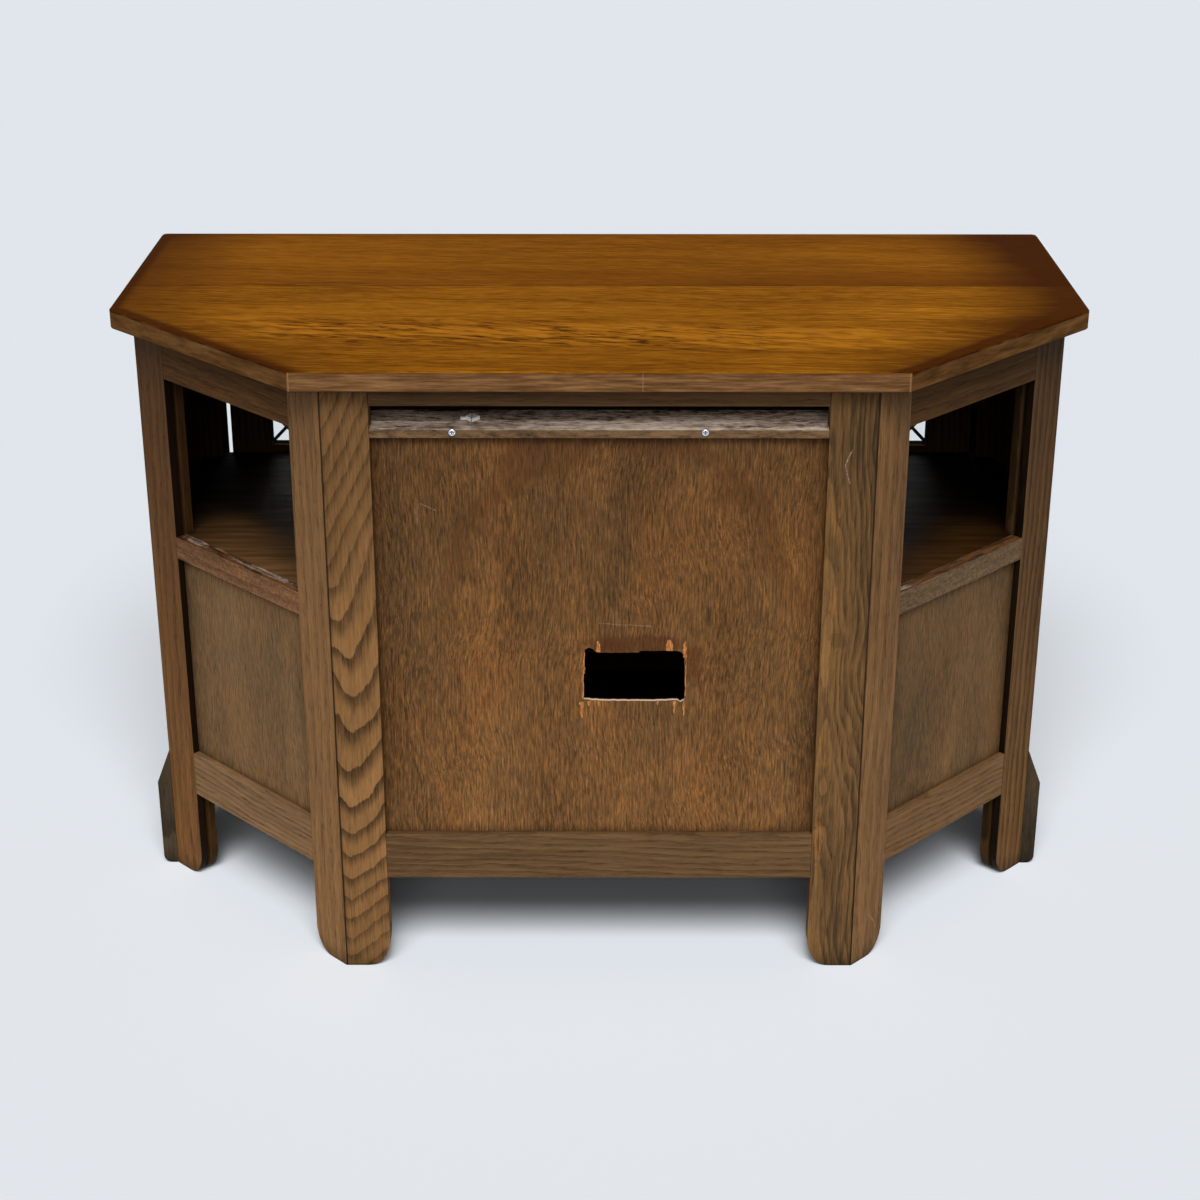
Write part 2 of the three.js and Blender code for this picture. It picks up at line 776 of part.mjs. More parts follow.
// The cabinet's floor is housed in all the bottom rails
function cabinetFloor() {
  const depth = housing + jointGap;
  const plan = planSolid(insidePlan(frontY + frameThickness + jointGap), floorUnderside, floorTop);
  const spans = [
    [rearWall, -rearOpening / 2, rearOpening / 2],
    [frontWall, -postInnerX, postInnerX],
    ...Object.values(cantWalls).map(({ group }) => [group, -cantOpening / 2, cantOpening / 2]),
    ...Object.values(sideWalls).map(({ group, rearSide }) => {
      const shift = sideShift(rearSide);
      return [group, shift - sideOpening / 2, shift + sideOpening / 2];
    }),
  ];
  const tongues = spans.map(([group, x0, x1]) => tongue(group, x0, x1, depth, floorUnderside, floorTop));
  return join([plan, ...tongues]).subtract(postClearance(1, 0)).subtract(postClearance(-1, 0));
}
add(model, 'cabinet_floor', cabinetFloor(), shelfWood);

// The catch that holds both doors shut, on the inner face of the front top rail
function doorCatch() {
  const half = catchWidth / 2;
  const face = doorThickness + jointGap * 2;
  const flange = frameThickness + jointGap;
  const flangeTop = topRailUnderside + catchFlangeHeight;
  const underside = topRailUnderside - catchHeight;
  const body = block(-half, half, face, face + catchDepth, underside, topRailUnderside - jointGap);
  const flangeBack = flange + catchFlangeThickness;
  const plate = block(-half, half, flange, flangeBack, underside, flangeTop);
  return body.add(plate);
}
add(frontWall, 'door_catch', doorCatch(), plastic);

// The doors, in the front wall's frame
const doorGrooveBack = doorGrooveSetback + doorGrooveWidth;

function doorStile(x0, x1, grooveOnLow) {
  const edge = grooveOnLow ? x0 : x1;
  const into = grooveOnLow ? grooveDepth : -grooveDepth;
  const board = block(x0, x1, 0, doorThickness, doorBottom, doorTop);
  const ends = [edge - Math.sign(into) * overrun, edge + into].sort((a, b) => a - b);
  const past = overrun + doorTop;
  return board.subtract(block(ends[0], ends[1], doorGrooveSetback, doorGrooveBack, -overrun, past));
}

function doorRail(x0, x1, z0, z1, grooveBelow, grooveAbove) {
  const front = doorGrooveSetback;
  const back = doorGrooveBack;
  const reach = grooveDepth - jointGap;
  const fit = jointGap;
  const body = block(x0 + fit, x1 - fit, 0, doorThickness, z0, z1);
  const cuts = [];
  if (grooveBelow) cuts.push(block(x0 - reach, x1 + reach, front, back, z0 - overrun, z0 + grooveDepth));
  if (grooveAbove) cuts.push(block(x0 - reach, x1 + reach, front, back, z1 - grooveDepth, z1 + overrun));
  const tenon = block(x0 - reach, x1 + reach, front + fit, back - fit, z0 + grooveDepth, z1 - grooveDepth);
  return body.subtract(join(cuts)).add(tenon);
}

function doorPanel(x0, x1, z0, z1) {
  const back = doorGrooveSetback + (doorGrooveWidth + plyThickness) / 2;
  const reach = panelEngagement;
  const sheet = block(x0 - reach, x1 + reach, back - plyThickness, back, z0 - reach, z1 + reach);
  return sheet.add(raisedField(x0, x1, z0, z1, back));
}

// A leaded light: one pane with a diamond lattice of lead strips through it
function leadedLight(x0, x1, z0, z1) {
  const middle = doorThickness / 2;
  const reach = panelEngagement;
  const frame = [x0 - reach, x1 + reach, z0 - reach, z1 + reach];
  const halfPane = glassThickness / 2;
  const halfCame = cameThickness / 2;
  const pane = block(frame[0], frame[1], middle - halfPane, middle + halfPane, frame[2], frame[3]);
  const stepX = (x1 - x0) / latticeColumns;
  const stepZ = (z1 - z0) / latticeRows;
  const slope = Math.atan2(stepZ, stepX);
  const length = Math.hypot(x1 - x0, z1 - z0) * 2;
  const bars = [];
  for (let line = 1 - latticeRows; line < latticeColumns; line += 1) {
    for (const lean of [1, -1]) {
      const geometry = new THREE.BoxGeometry(length, cameThickness, cameWidth);
      geometry.rotateY(-lean * slope);
      const start = lean > 0 ? x0 + line * stepX : x1 - line * stepX;
      geometry.translate(start, middle, z0);
      bars.push(solid(geometry));
    }
  }
  const field = block(x0, x1, middle - halfCame, middle + halfCame, z0, z1);
  const rim = lightFit;
  const border = block(
    frame[0] + rim, frame[1] - rim, middle - halfCame, middle + halfCame, frame[2] + rim, frame[3] - rim,
  ).subtract(block(
    x0 + cameWidth, x1 - cameWidth, -overrun, doorThickness + overrun, z0 + cameWidth, z1 - cameWidth,
  ));
  return pane.add(join(bars).intersect(field)).add(border);
}

// A turned knob with its rose, its spindle let into the stile
function knob(x) {
  const waist = (knobRoseThickness + knobReach) / 2;
  const profile = [[0, -knobReach]];
  for (let step = 1; step <= arcSteps; step += 1) {
    const angle = Math.PI * step / (arcSteps + 1);
    const reach = -(waist + (knobReach - waist) * Math.cos(angle));
    profile.push([Math.max(knobRadius * Math.sin(angle), knobNeckRadius), reach]);
  }
  profile.push([knobNeckRadius, -knobRoseThickness]);
  profile.push([knobRoseRadius, -knobRoseThickness]);
  profile.push([knobRoseRadius, -jointGap]);
  profile.push([knobSpindleRadius, -jointGap]);
  profile.push([knobSpindleRadius, knobSpindleLength]);
  profile.push([0, knobSpindleLength]);
  return turned(profile, knobSides, x, 0, knobHeight);
}

function knobHole(x) {
  const radius = knobSpindleRadius + jointGap;
  return cylinderThrough(radius, -overrun, knobSpindleLength + jointGap, x, knobHeight, knobSides);
}

function addDoor(name, door) {
  const { side, hingeGap } = door;
  const hingeEdge = postInnerX - hingeGap;
  const meetingEdge = doorMeetingGap / 2;
  const right = side > 0;
  const [x0, x1] = right ? [glassInnerX, glassOuterX] : [-glassOuterX, -glassInnerX];
  const hingeEnds = right ? [glassOuterX, hingeEdge] : [-hingeEdge, -glassOuterX];
  const meetingEnds = right ? [meetingEdge, glassInnerX] : [-glassInnerX, -meetingEdge];
  const hingeStile = doorStile(...hingeEnds, right).subtract(pinHoles(door));
  const knobX = side * (meetingEdge + meetingStileWidth / 2);
  const meetingStile = doorStile(...meetingEnds, !right).subtract(knobHole(knobX));
  const lowRailTop = doorBottom + doorRailHeight;
  const topRailPiece = doorRail(x0, x1, glassTop, doorTop, true, false);
  const midRailPiece = doorRail(x0, x1, doorMidRailUnderside, doorMidRailTop, true, true);
  const lowRailPiece = doorRail(x0, x1, doorBottom, lowRailTop, false, true);
  const panel = doorPanel(x0, x1, lowRailTop, doorMidRailUnderside);
  add(frontWall, `door_${name}_hinge_stile`, hingeStile, oak);
  add(frontWall, `door_${name}_meeting_stile`, meetingStile, oak);
  add(frontWall, `door_${name}_top_rail`, topRailPiece, oak);
  add(frontWall, `door_${name}_mid_rail`, midRailPiece, oak);
  add(frontWall, `door_${name}_bottom_rail`, lowRailPiece, oak);
  add(frontWall, `door_${name}_panel`, panel, oakPale);
  add(frontWall, `door_${name}_leaded_light`, leadedLight(x0, x1, glassBottom, glassTop), glass);
  add(frontWall, `door_${name}_knob`, knob(knobX), brass);
  for (const [place, [z0, z1]] of Object.entries(pinSpans())) {
    const pin = cylinderUp(pinRadius, z0, z1, pivotX(door), pivotSetback, pinSides);
    add(frontWall, `door_${name}_${place}_pin`, pin, steel);
  }
}

for (const [name, door] of Object.entries(doors)) addDoor(name, door);

export default model;
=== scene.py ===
import math
import random

import bmesh
import bpy
from mathutils import Matrix, Vector, noise


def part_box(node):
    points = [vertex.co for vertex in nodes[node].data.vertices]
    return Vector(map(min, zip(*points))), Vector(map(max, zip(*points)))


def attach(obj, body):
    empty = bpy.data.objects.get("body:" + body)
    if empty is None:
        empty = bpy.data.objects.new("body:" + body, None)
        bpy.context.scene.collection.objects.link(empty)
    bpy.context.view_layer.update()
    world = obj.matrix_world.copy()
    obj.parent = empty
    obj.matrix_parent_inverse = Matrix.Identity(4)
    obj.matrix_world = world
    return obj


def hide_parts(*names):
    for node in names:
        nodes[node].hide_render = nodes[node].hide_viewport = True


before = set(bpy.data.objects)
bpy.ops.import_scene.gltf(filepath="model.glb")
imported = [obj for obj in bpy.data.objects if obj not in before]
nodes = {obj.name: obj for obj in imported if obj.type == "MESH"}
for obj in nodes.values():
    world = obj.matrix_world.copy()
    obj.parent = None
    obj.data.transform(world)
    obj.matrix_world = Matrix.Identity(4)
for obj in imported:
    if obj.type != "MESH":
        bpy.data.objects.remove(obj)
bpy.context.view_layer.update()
scene = bpy.context.scene

MM = 0.001
QUARTER = math.pi / 2
RIGHT = Vector((1, 0, 0))
BACK = Vector((0, 1, 0))
UP = Vector((0, 0, 1))
SLANT = math.sqrt(0.5)
SIDES = ("left", "right")


# Colours are written as they look on a screen, from 0 to 255, and used as linear light
def linear(colour):
    shares = [value / 255 for value in colour]
    return tuple(s / 12.92 if s <= 0.04045 else ((s + 0.055) / 1.055) ** 2.4 for s in shares) + (1,)


def new_object(name, data):
    made = bpy.data.objects.new(name, data)
    scene.collection.objects.link(made)
    return made


# Camera: behind the cabinet, looking down on it
LENS = 67.273
SENSOR = 36
CAMERA_PLACE = Vector((-0.0003, 2.48967, 1.43524))
CAMERA_PITCH = math.radians(23.5445)
CAMERA_YAW = math.radians(0.0173)
CAMERA_ROLL = math.radians(0.0558)


def make_camera():
    data = bpy.data.cameras.new("camera")
    data.sensor_width = SENSOR
    data.lens = LENS
    camera = new_object("camera", data)
    turn = Matrix.Rotation(math.pi - CAMERA_YAW, 4, "Z")
    tilt = Matrix.Rotation(QUARTER - CAMERA_PITCH, 4, "X")
    roll = Matrix.Rotation(CAMERA_ROLL, 4, "Z")
    camera.matrix_world = Matrix.Translation(CAMERA_PLACE) @ turn @ tilt @ roll
    scene.camera = camera


# A value in a node tree: its sums and products are nodes as well
class Wire:
    def __init__(self, tree, socket):
        self.tree = tree
        self.socket = socket

    def __add__(self, other):
        return self.tree.math("ADD", self, other)

    def __sub__(self, other):
        return self.tree.math("SUBTRACT", self, other)

    def __rsub__(self, other):
        return self.tree.math("SUBTRACT", other, self)

    def __mul__(self, other):
        return self.tree.math("MULTIPLY", self, other)

    def __truediv__(self, number):
        return self * (1 / number)

    def __abs__(self):
        return self.tree.math("ABSOLUTE", self)

    __radd__ = __add__
    __rmul__ = __mul__


# A small helper that builds node trees
class Tree:
    def __init__(self, tree, material=None):
        self.tree = tree
        self.material = material

    def node(self, kind, inputs=None, **settings):
        made = self.tree.nodes.new("ShaderNode" + kind)
        for name, value in settings.items():
            setattr(made, name, value)
        for name, value in (inputs or {}).items():
            self.feed(made.inputs[name], value)
        return made

    # A new node, of which one output is wanted
    def get(self, kind, output, inputs=None, **settings):
        return Wire(self, self.node(kind, inputs, **settings).outputs[output])

    # Three numbers are a colour as a screen shows it, four are linear light
    def feed(self, socket, value):
        if isinstance(value, Wire):
            self.tree.links.new(value.socket, socket)
        elif socket.type == "RGBA" and len(value) == 3:
            socket.default_value = linear(value)
        else:
            socket.default_value = value

    def math(self, operation, *values):
        return self.get("Math", 0, dict(enumerate(values)), operation=operation)

    def vector(self, operation, *values):
        output = "Value" if operation in ("DOT_PRODUCT", "DISTANCE") else "Vector"
        return self.get("VectorMath", output, dict(enumerate(values)), operation=operation)

    def noise(self, vector, scale=1, detail=2, roughness=0.5):
        values = {"Vector": vector, "Scale": scale, "Detail": detail, "Roughness": roughness}
        return self.get("TexNoise", "Fac", values)

    # Noise stretched along a board: features about 1/along by 1/across of a metre
    def streaks(self, place, along, across, detail=2, roughness=0.5):
        return self.noise(self.vector("MULTIPLY", place, (along, across, across)), 1, detail, roughness)

    def ramp(self, value, low, high, to_low=0, to_high=1, smooth=True):
        values = {"Value": value, "From Min": low, "From Max": high, "To Min": to_low, "To Max": to_high}
        kind = "SMOOTHSTEP" if smooth else "LINEAR"
        return self.get("MapRange", "Result", values, interpolation_type=kind)

    # Inputs 6 and 7 and output 2 are the colours of this node
    def mix(self, factor, a, b, blend="MIX"):
        return self.get("Mix", 2, {0: factor, 6: a, 7: b}, data_type="RGBA", blend_type=blend)

    def shade(self, colour, value):
        grey = self.get("CombineColor", "Color", dict.fromkeys(("Red", "Green", "Blue"), value))
        return self.mix(1, colour, grey, "MULTIPLY")

    # Colours along a scale from 0 to 1
    def scale(self, value, *stops):
        made = self.node("ValToRGB", {"Fac": value})
        elements = made.color_ramp.elements
        for place, _ in stops[2:]:
            elements.new(place)
        for element, (place, colour) in zip(elements, stops):
            element.position = place
            element.color = linear(colour)
        return Wire(self, made.outputs["Color"])

    def parts(self, vector):
        return [Wire(self, socket) for socket in self.node("SeparateXYZ", {"Vector": vector}).outputs]

    def point(self, x, y, z):
        return self.get("CombineXYZ", "Vector", {"X": x, "Y": y, "Z": z})

    def object_place(self):
        return self.get("TexCoord", "Object")

    def facing(self, direction):
        return self.vector("DOT_PRODUCT", self.get("TexCoord", "Normal"), tuple(direction))

    # A smooth curve through given points
    def curve(self, value, *points):
        made = self.node("FloatCurve", {"Value": value})
        shape = made.mapping.curves[0]
        while len(shape.points) < len(points):
            shape.points.new(0.5, 0.5)
        for point, place in zip(shape.points, points):
            point.location = place
        made.mapping.update()
        return Wire(self, made.outputs["Value"])

    # 1 inside a soft patch of a board, 0 outside it; the middle and the half sizes are in metres
    def patch(self, place, middle, half, wobble=0.3, grain=90):
        ways = zip(self.parts(place), middle, half)
        cubes = [self.math("POWER", abs((way - centre) / reach), 3) for way, centre, reach in ways]
        far = self.math("POWER", cubes[0] + cubes[1], 1 / 3)
        rough = (self.noise(place, grain, 3) - 0.5) * (2 * wobble)
        return self.ramp(far + rough, 0.6, 1.15, 1, 0)

    def bump(self, height, strength, distance):
        values = {"Height": height, "Strength": strength, "Distance": distance}
        return self.get("Bump", "Normal", values)

    # 1 for what the camera sees itself, or by way of metal or glass
    def seen(self):
        rays = self.node("LightPath").outputs
        ways = [Wire(self, rays[f"Is {way} Ray"]) for way in ("Camera", "Glossy", "Transmission")]
        return self.math("MAXIMUM", ways[0], self.math("MAXIMUM", *ways[1:]))

    def finish(self, colour, roughness, specular, normal=None, metallic=0):
        values = {"Base Color": colour, "Roughness": roughness, "Specular IOR Level": specular}
        if normal:
            values["Normal"] = normal
        return self.surface("BsdfPrincipled", {"Metallic": metallic, **values})

    def surface(self, kind, values):
        self.node("OutputMaterial", {"Surface": self.get(kind, "BSDF", values)})
        return self.material


def new_material(name):
    material = bpy.data.materials.new(name)
    material.use_nodes = True
    material.node_tree.nodes.clear()
    return Tree(material.node_tree, material)


# The grain of one board. Its coordinates run along the grain, across the face and into the wood.
RING_KEYS = ("rings_along", "rings_across", "heart", "round", "wobble", "sharp", "rings_more")
GRAIN_RESULTS = ("ring", "fibre", "pores", "cloud")


def make_grain_group():
    group = bpy.data.node_groups.new("grain", "ShaderNodeTree")
    group.interface.new_socket("board", in_out="INPUT", socket_type="NodeSocketVector")
    for name in ("seed", *RING_KEYS):
        group.interface.new_socket(name, in_out="INPUT", socket_type="NodeSocketFloat")
    for name in GRAIN_RESULTS:
        group.interface.new_socket(name, in_out="OUTPUT", socket_type="NodeSocketFloat")
    t = Tree(group)
    given = {socket.name: Wire(t, socket) for socket in group.nodes.new("NodeGroupInput").outputs}
    place = t.vector("ADD", given["board"], t.point(*[given["seed"]] * 3))
    ring = grain_rings(t, given, place)
    hair = t.streaks(place, 34, 620, 2, 0.7)
    streak = t.streaks(place, 18, 300, 3, 0.7)
    wide = t.streaks(place, 8, 100)
    pore = t.ramp(t.streaks(place, 52, 560, 2, 0.75), 0.53, 0.64)
    results = (
        ring, hair * 0.45 + streak * 0.35 + wide * 0.2,
        pore * t.ramp(ring, 0, 0.7, 1, 0.4), t.streaks(place, 3.4, 12, 3),
    )
    for socket, value in zip(group.nodes.new("NodeGroupOutput").inputs, results):
        t.feed(socket, value)
    return group


# Yearly rings: a distance from the heart line, bent by noise; each fades from dark to light
def grain_rings(t, given, place):
    along, across, _ = t.parts(given["board"])
    off = across - given["heart"]
    bow = t.math("SQRT", off * off + given["round"] * given["round"])
    rings = along * given["rings_along"] + bow * given["rings_across"]
    slow = t.streaks(place, 5, 17) - 0.5
    quick = t.streaks(place, 40, 130) - 0.5
    rings = rings + slow * given["wobble"] + quick * 0.35 + given["rings_more"] + 100
    share = t.math("FRACT", rings)
    ring = t.ramp(share, 0, given["sharp"]) * t.ramp(share, 0.95, 1, 1, 0)
    each = t.get("TexWhiteNoise", "Value", {"W": t.math("FLOOR", rings)}, noise_dimensions="1D")
    return ring * t.ramp(each, 0, 1, 0.7, 1, smooth=False)


GRAIN = make_grain_group()

# Where each wall looks in, as the pieces' names say
INWARD = {
    "cant_left": (RIGHT - BACK) * SLANT,
    "cant_right": (-RIGHT - BACK) * SLANT,
    "side_left": RIGHT,
    "side_right": -RIGHT,
    "foot_block_rear_left": RIGHT,
    "foot_block_rear_right": -RIGHT,
    "foot_block_front": BACK,
    "front": BACK,
    "door": BACK,
}


# A board's own directions and sizes, read from its solid
class Board:
    def __init__(self, name, upright=True):
        self.name = name
        self.into = next((v for k, v in INWARD.items() if name.startswith(k)), -BACK)
        self.along = UP if upright else UP.cross(self.into)
        self.across = self.into.cross(self.along)
        axes = (self.along, self.across, self.into)
        spans = [self.span(axis) for axis in axes]
        self.half = [(high - low) / 2 for low, high in spans]
        self.middle = sum((a * (low + high) / 2 for a, (low, high) in zip(axes, spans)), Vector())

    def span(self, axis):
        reach = [v.co.dot(axis) for v in nodes[self.name].data.vertices]
        return min(reach), max(reach)

    def turn(self):
        return Matrix((self.along, self.across, self.into)).transposed()

    # Board coordinates in a material: along the grain, across the face, into the wood
    def place(self, t):
        values = {"Vector": t.object_place(), "Location": self.middle, "Rotation": self.turn().to_euler()}
        return t.get("Mapping", "Vector", values, vector_type="TEXTURE")

    # A point of the cabinet's frame in board coordinates
    def spot(self, x, y, z):
        offset = Vector((x, y, z)) - self.middle
        return offset.dot(self.along), offset.dot(self.across)


# Painted shade: boards darken high up, in corners and hollows, and on their inner faces and the sides listed
OAK = dict(
    light=(128, 94, 60), dark=(82, 59, 37), pore=(45, 31, 20), edge=(150, 118, 84),
    ring_share=0.6, fibre_share=2.2, cloud_share=0.8, pore_share=0.5, rubbed_and_highlit_share=0.2,
    rings_along=3, rings_across=130, heart=0.03, round=0.006, wobble=3, sharp=0.85, rings_more=0,
    inside=0.22, shaded_sides=(), roughness=0.55, specular=0.055, bump=0.35, hollow_shade=0.65,
    hollow_shade_reach=5 * MM, marks=(), painted_shade_levels=((0, 1), (0.7, 1)), joint=0,
)


# Stained oak. The fine relief follows fibre and pores; arrises are rubbed and carry a painted highlight, and
# corners get painted shade.
def oak_material(board, seed, **changes):
    t = new_material(board.name)
    place = board.place(t)
    p = {key: value(t, place) if callable(value) else value for key, value in {**OAK, **changes}.items()}
    values = {"board": place, "seed": seed, **{key: p[key] for key in RING_KEYS}}
    grain = t.node("Group", values, node_tree=GRAIN)
    ring, fibre, pores, cloud = [Wire(t, grain.outputs[name]) for name in GRAIN_RESULTS]
    tone = (ring - 0.5) * p["ring_share"] + (fibre - 0.5) * p["fibre_share"]
    colour = t.mix(tone + (cloud - 0.5) * p["cloud_share"] + 0.5, p["dark"], p["light"])
    colour = t.mix(pores * p["pore_share"], colour, p["pore"])
    for mark in p["marks"]:
        colour = mark(t, board, place, colour, fibre)
    colour = height_painted_shade(t, colour, p["painted_shade_levels"])
    colour = joint_line(t, board, place, colour, p["joint"])
    colour = rubbed_and_highlit_edges(t, colour, fibre, p)
    colour = inner_painted_shade(t, colour, (board.into, *p["shaded_sides"]), p["inside"])
    colour = corner_painted_shade(t, colour, p["hollow_shade"], p["hollow_shade_reach"])
    height = fibre * 0.6 - pores
    rough = pores * 0.2 + t.ramp(fibre, 0.3, 0.7, p["roughness"] - 0.05, p["roughness"] + 0.1)
    return t.finish(colour, rough, p["specular"], t.bump(height, p["bump"], 0.4 * MM))


# Painted shade: boards are darker high up, where the overhang shades them; they are also darker at the very
# foot
def height_painted_shade(t, colour, painted_shade_levels):
    (low, low_level), (high, high_level) = painted_shade_levels
    z = t.parts(t.object_place())[2]
    level = t.ramp(z, low, high, low_level, high_level, smooth=False)
    foot = t.ramp(z + t.noise(t.object_place(), 60) * 0.02, 0.008, 0.035, 0.55, 1)
    return t.shade(colour, level * foot)


# A thin dark line where two boards meet at a corner, with painted shade fading beside it; side is 1 or -1
# across the board, or 0
def joint_line(t, board, place, colour, side):
    if not side:
        return colour
    across = t.parts(place)[1]
    gap = board.half[1] + across * -side
    bend = (t.noise(place, 40) - 0.5) * (0.8 * MM)
    line = t.ramp(gap + bend, 1.2 * MM, 2.4 * MM, 0.92, 0)
    # Painted shade beside the joint
    shadow = t.ramp(gap, 0, 6 * MM, 0.25, 0)
    return t.mix(t.math("MAXIMUM", line, shadow), colour, (24, 17, 11))


# Painted shade: the inner faces of the walls, and the other sides given, are darkened by the share given
def inner_painted_shade(t, colour, sides, share):
    if share == 1:
        return colour
    for side in sides:
        colour = t.mix(t.ramp(t.facing(side), 0.55, 0.8), colour, t.shade(colour, share))
    return colour


# Lighter arrises: partly rubbed wear, partly a painted highlight along the eased edges
def rubbed_and_highlit_edges(t, colour, fibre, p):
    eased = t.get("Bevel", "Normal", {"Radius": 1.5 * MM}, samples=4)
    turn = 1 - t.vector("DOT_PRODUCT", eased, t.get("NewGeometry", "Normal"))
    edge = t.ramp(turn, 0.04, 0.28) * t.ramp(fibre, 0.44, 0.6) * p["rubbed_and_highlit_share"]
    return t.mix(edge, colour, p["edge"])


# Painted shade: darker in corners, creases and hollows, where ambient occlusion finds them
def corner_painted_shade(t, colour, share, reach):
    hollow = t.get("AmbientOcclusion", "AO", {"Distance": reach}, samples=4)
    return t.shade(colour, t.ramp(hollow, 0.3, 0.95, 1 - share, 1, smooth=False))


# Joins split corners, merges flat faces and eases the arrises
def dress(name, material, bevel=0.8 * MM):
    obj = nodes[name]
    obj.data.materials.clear()
    obj.data.materials.append(material)
    obj.modifiers.new("weld", "WELD").merge_threshold = 0.01 * MM
    flat = obj.modifiers.new("flat", "DECIMATE")
    flat.decimate_type = "DISSOLVE"
    flat.angle_limit = math.radians(0.5)
    if bevel:
        ease(obj, bevel, 35)


def ease(obj, width, angle):
    bevel = obj.modifiers.new("bevel", "BEVEL")
    bevel.width = width
    bevel.segments = 2
    bevel.angle_limit = math.radians(angle)


# The stile with chevrons: rings close together near floor and top, wide in the middle. Both
# curves go from foot to top: the share of the rings left above, and the heart's place across.
CHEVRON_HALF = 0.3535
CHEVRON_COUNT = 21.5
CHEVRON_SPREAD = 0.1
CHEVRON_RINGS = (
    (0, 1), (0.065, 0.907), (0.307, 0.628), (0.444, 0.535), (0.64, 0.395), (0.723, 0.302), (1, 0),
)
CHEVRON_HEART = (
    (0, 0.31), (0.28, 0.38), (0.39, 0.4), (0.48, 0.47), (0.53, 0.455), (0.6, 0.36), (0.66, 0.29), (1, 0.2),
)


def chevron_share(t, place):
    return t.ramp(t.parts(place)[0], -CHEVRON_HALF, CHEVRON_HALF, 0, 1, smooth=False)


def chevron_rings(t, place):
    return t.curve(chevron_share(t, place), *CHEVRON_RINGS) * CHEVRON_COUNT


def chevron_heart(t, place):
    return (t.curve(chevron_share(t, place), *CHEVRON_HEART) - 0.5) * CHEVRON_SPREAD


def chevron_across(t, place):
    return t.ramp(chevron_share(t, place), 0.62, 0.76, 35, 68)


# A pale or dark scratch between two points of a board's face
def scratch(t, board, place, colour, start, end, width, share, mark_colour):
    a, b = Vector(board.spot(*start)), Vector(board.spot(*end))
    length = (b - a).length
    way = (b - a) / length
    along, across, _ = t.parts(place)
    along, across = along - a.x, across - a.y
    reach = along * way.x + across * way.y
    bend = (t.noise(place, 60) - 0.5) * (3 * MM)
    side = abs(along * -way.y + across * way.x + bend)
    inside = t.ramp(reach, -MM, MM) * t.ramp(reach, length - 2 * MM, length + MM, 1, 0)
    broken = t.ramp(t.noise(place, 300), 0.4, 0.6, 0.3, 1)
    line = t.ramp(side, width * 0.3, width, 1, 0) * inside * broken * share
    return t.mix(line, colour, mark_colour)


# The tongue behind a corner stile's rebate: painted shade makes it dull brown, and its sides less black than
# the rebate's
def tongue_painted_shade(t, board, place, colour, fibre):
    return t.shade(colour, t.ramp(t.parts(place)[2], MM, 2 * MM, 1, 0.42))


def tongue_side_shade(t, place):
    return t.ramp(t.parts(place)[2], MM, 2 * MM, 0.08, 0.8)


def left_stile_marks(t, board, place, colour, fibre):
    knot = t.patch(place, board.spot(-0.2609, STILE_BACK, 0.417), (0.012, 0.01), 1.4, 120)
    colour = t.mix(knot * 0.3, colour, (44, 31, 20))
    # Painted orange highlights along the stile's edge
    for x, z, half in PAINTED_GLINTS:
        glint = t.patch(place, board.spot(x, STILE_BACK, z), (half, 0.004), 1.6, 110)
        colour = t.mix(glint * t.ramp(fibre, 0.44, 0.6) * 0.4, colour, (158, 100, 48))
    bend = (-0.26, STILE_BACK, 0.62)
    for x, z, share in ((-0.2672, 0.6375, 0.5), (-0.2655, 0.5987, 0.3)):
        end = (x, STILE_BACK, z)
        colour = scratch(t, board, place, colour, bend, end, 1.1 * MM, share, (176, 164, 152))
    return colour


def foot_chip(t, board, place, colour, fibre):
    for start, end, share in FOOT_CHIP:
        colour = scratch(t, board, place, colour, start, end, 1.8 * MM, share, (172, 122, 74))
    return colour


def chevron_strength(t, place):
    share = chevron_share(t, place)
    return t.ramp(share, 0.55, 0.72, 0.78, 0.34) * t.ramp(share, 0.05, 0.34, 0.45, 1)


# Painted orange highlights on the left stile: x, height and half length; then chips near a foot
STILE_BACK = 0.262
PAINTED_GLINTS = ((-0.2525, 0.555, 0.03), (-0.2545, 0.47, 0.034), (-0.25, 0.28, 0.025), (-0.249, 0.17, 0.03))
FOOT_CHIP = (
    ((-0.3133, 0.2427, 0.0578), (-0.3205, 0.2355, 0.0452), 0.75),
    ((-0.3205, 0.2355, 0.0452), (-0.324, 0.232, 0.033), 0.5),
)
RIGHT_STILE = dict(
    rings_along=0, rings_across=chevron_across, rings_more=chevron_rings, heart=chevron_heart,
    round=0.005, wobble=0.8, sharp=0.6, light=(139, 100, 60), dark=(56, 40, 24), joint=-1,
    ring_share=chevron_strength, fibre_share=1.7, cloud_share=0.5, painted_shade_levels=((0.42, 1), (0.62, 0.8)),
)
LEFT_STILE = dict(
    rings_along=10, rings_across=130, heart=-0.02, round=0.008, wobble=8, sharp=0.9,
    light=(134, 97, 56), dark=(60, 45, 29), ring_share=0.34, fibre_share=1.9, cloud_share=1.6,
    painted_shade_levels=((0, 1.18), (0.7, 0.84)), joint=1, marks=(left_stile_marks,),
)
PLAIN = dict(rings_along=1, rings_across=70, wobble=2, ring_share=0.3, fibre_share=2.6)
PALE = dict(PLAIN, light=(142, 104, 65), dark=(88, 62, 37), painted_shade_levels=((0.1, 1), (0.7, 0.72)))
BROWN = dict(PLAIN, light=(106, 75, 46), dark=(63, 44, 26))
CORNER = dict(
    PLAIN, light=(126, 86, 47), dark=(76, 49, 24), painted_shade_levels=((0.1, 1.05), (0.7, 0.38)), marks=(tongue_painted_shade,),
)
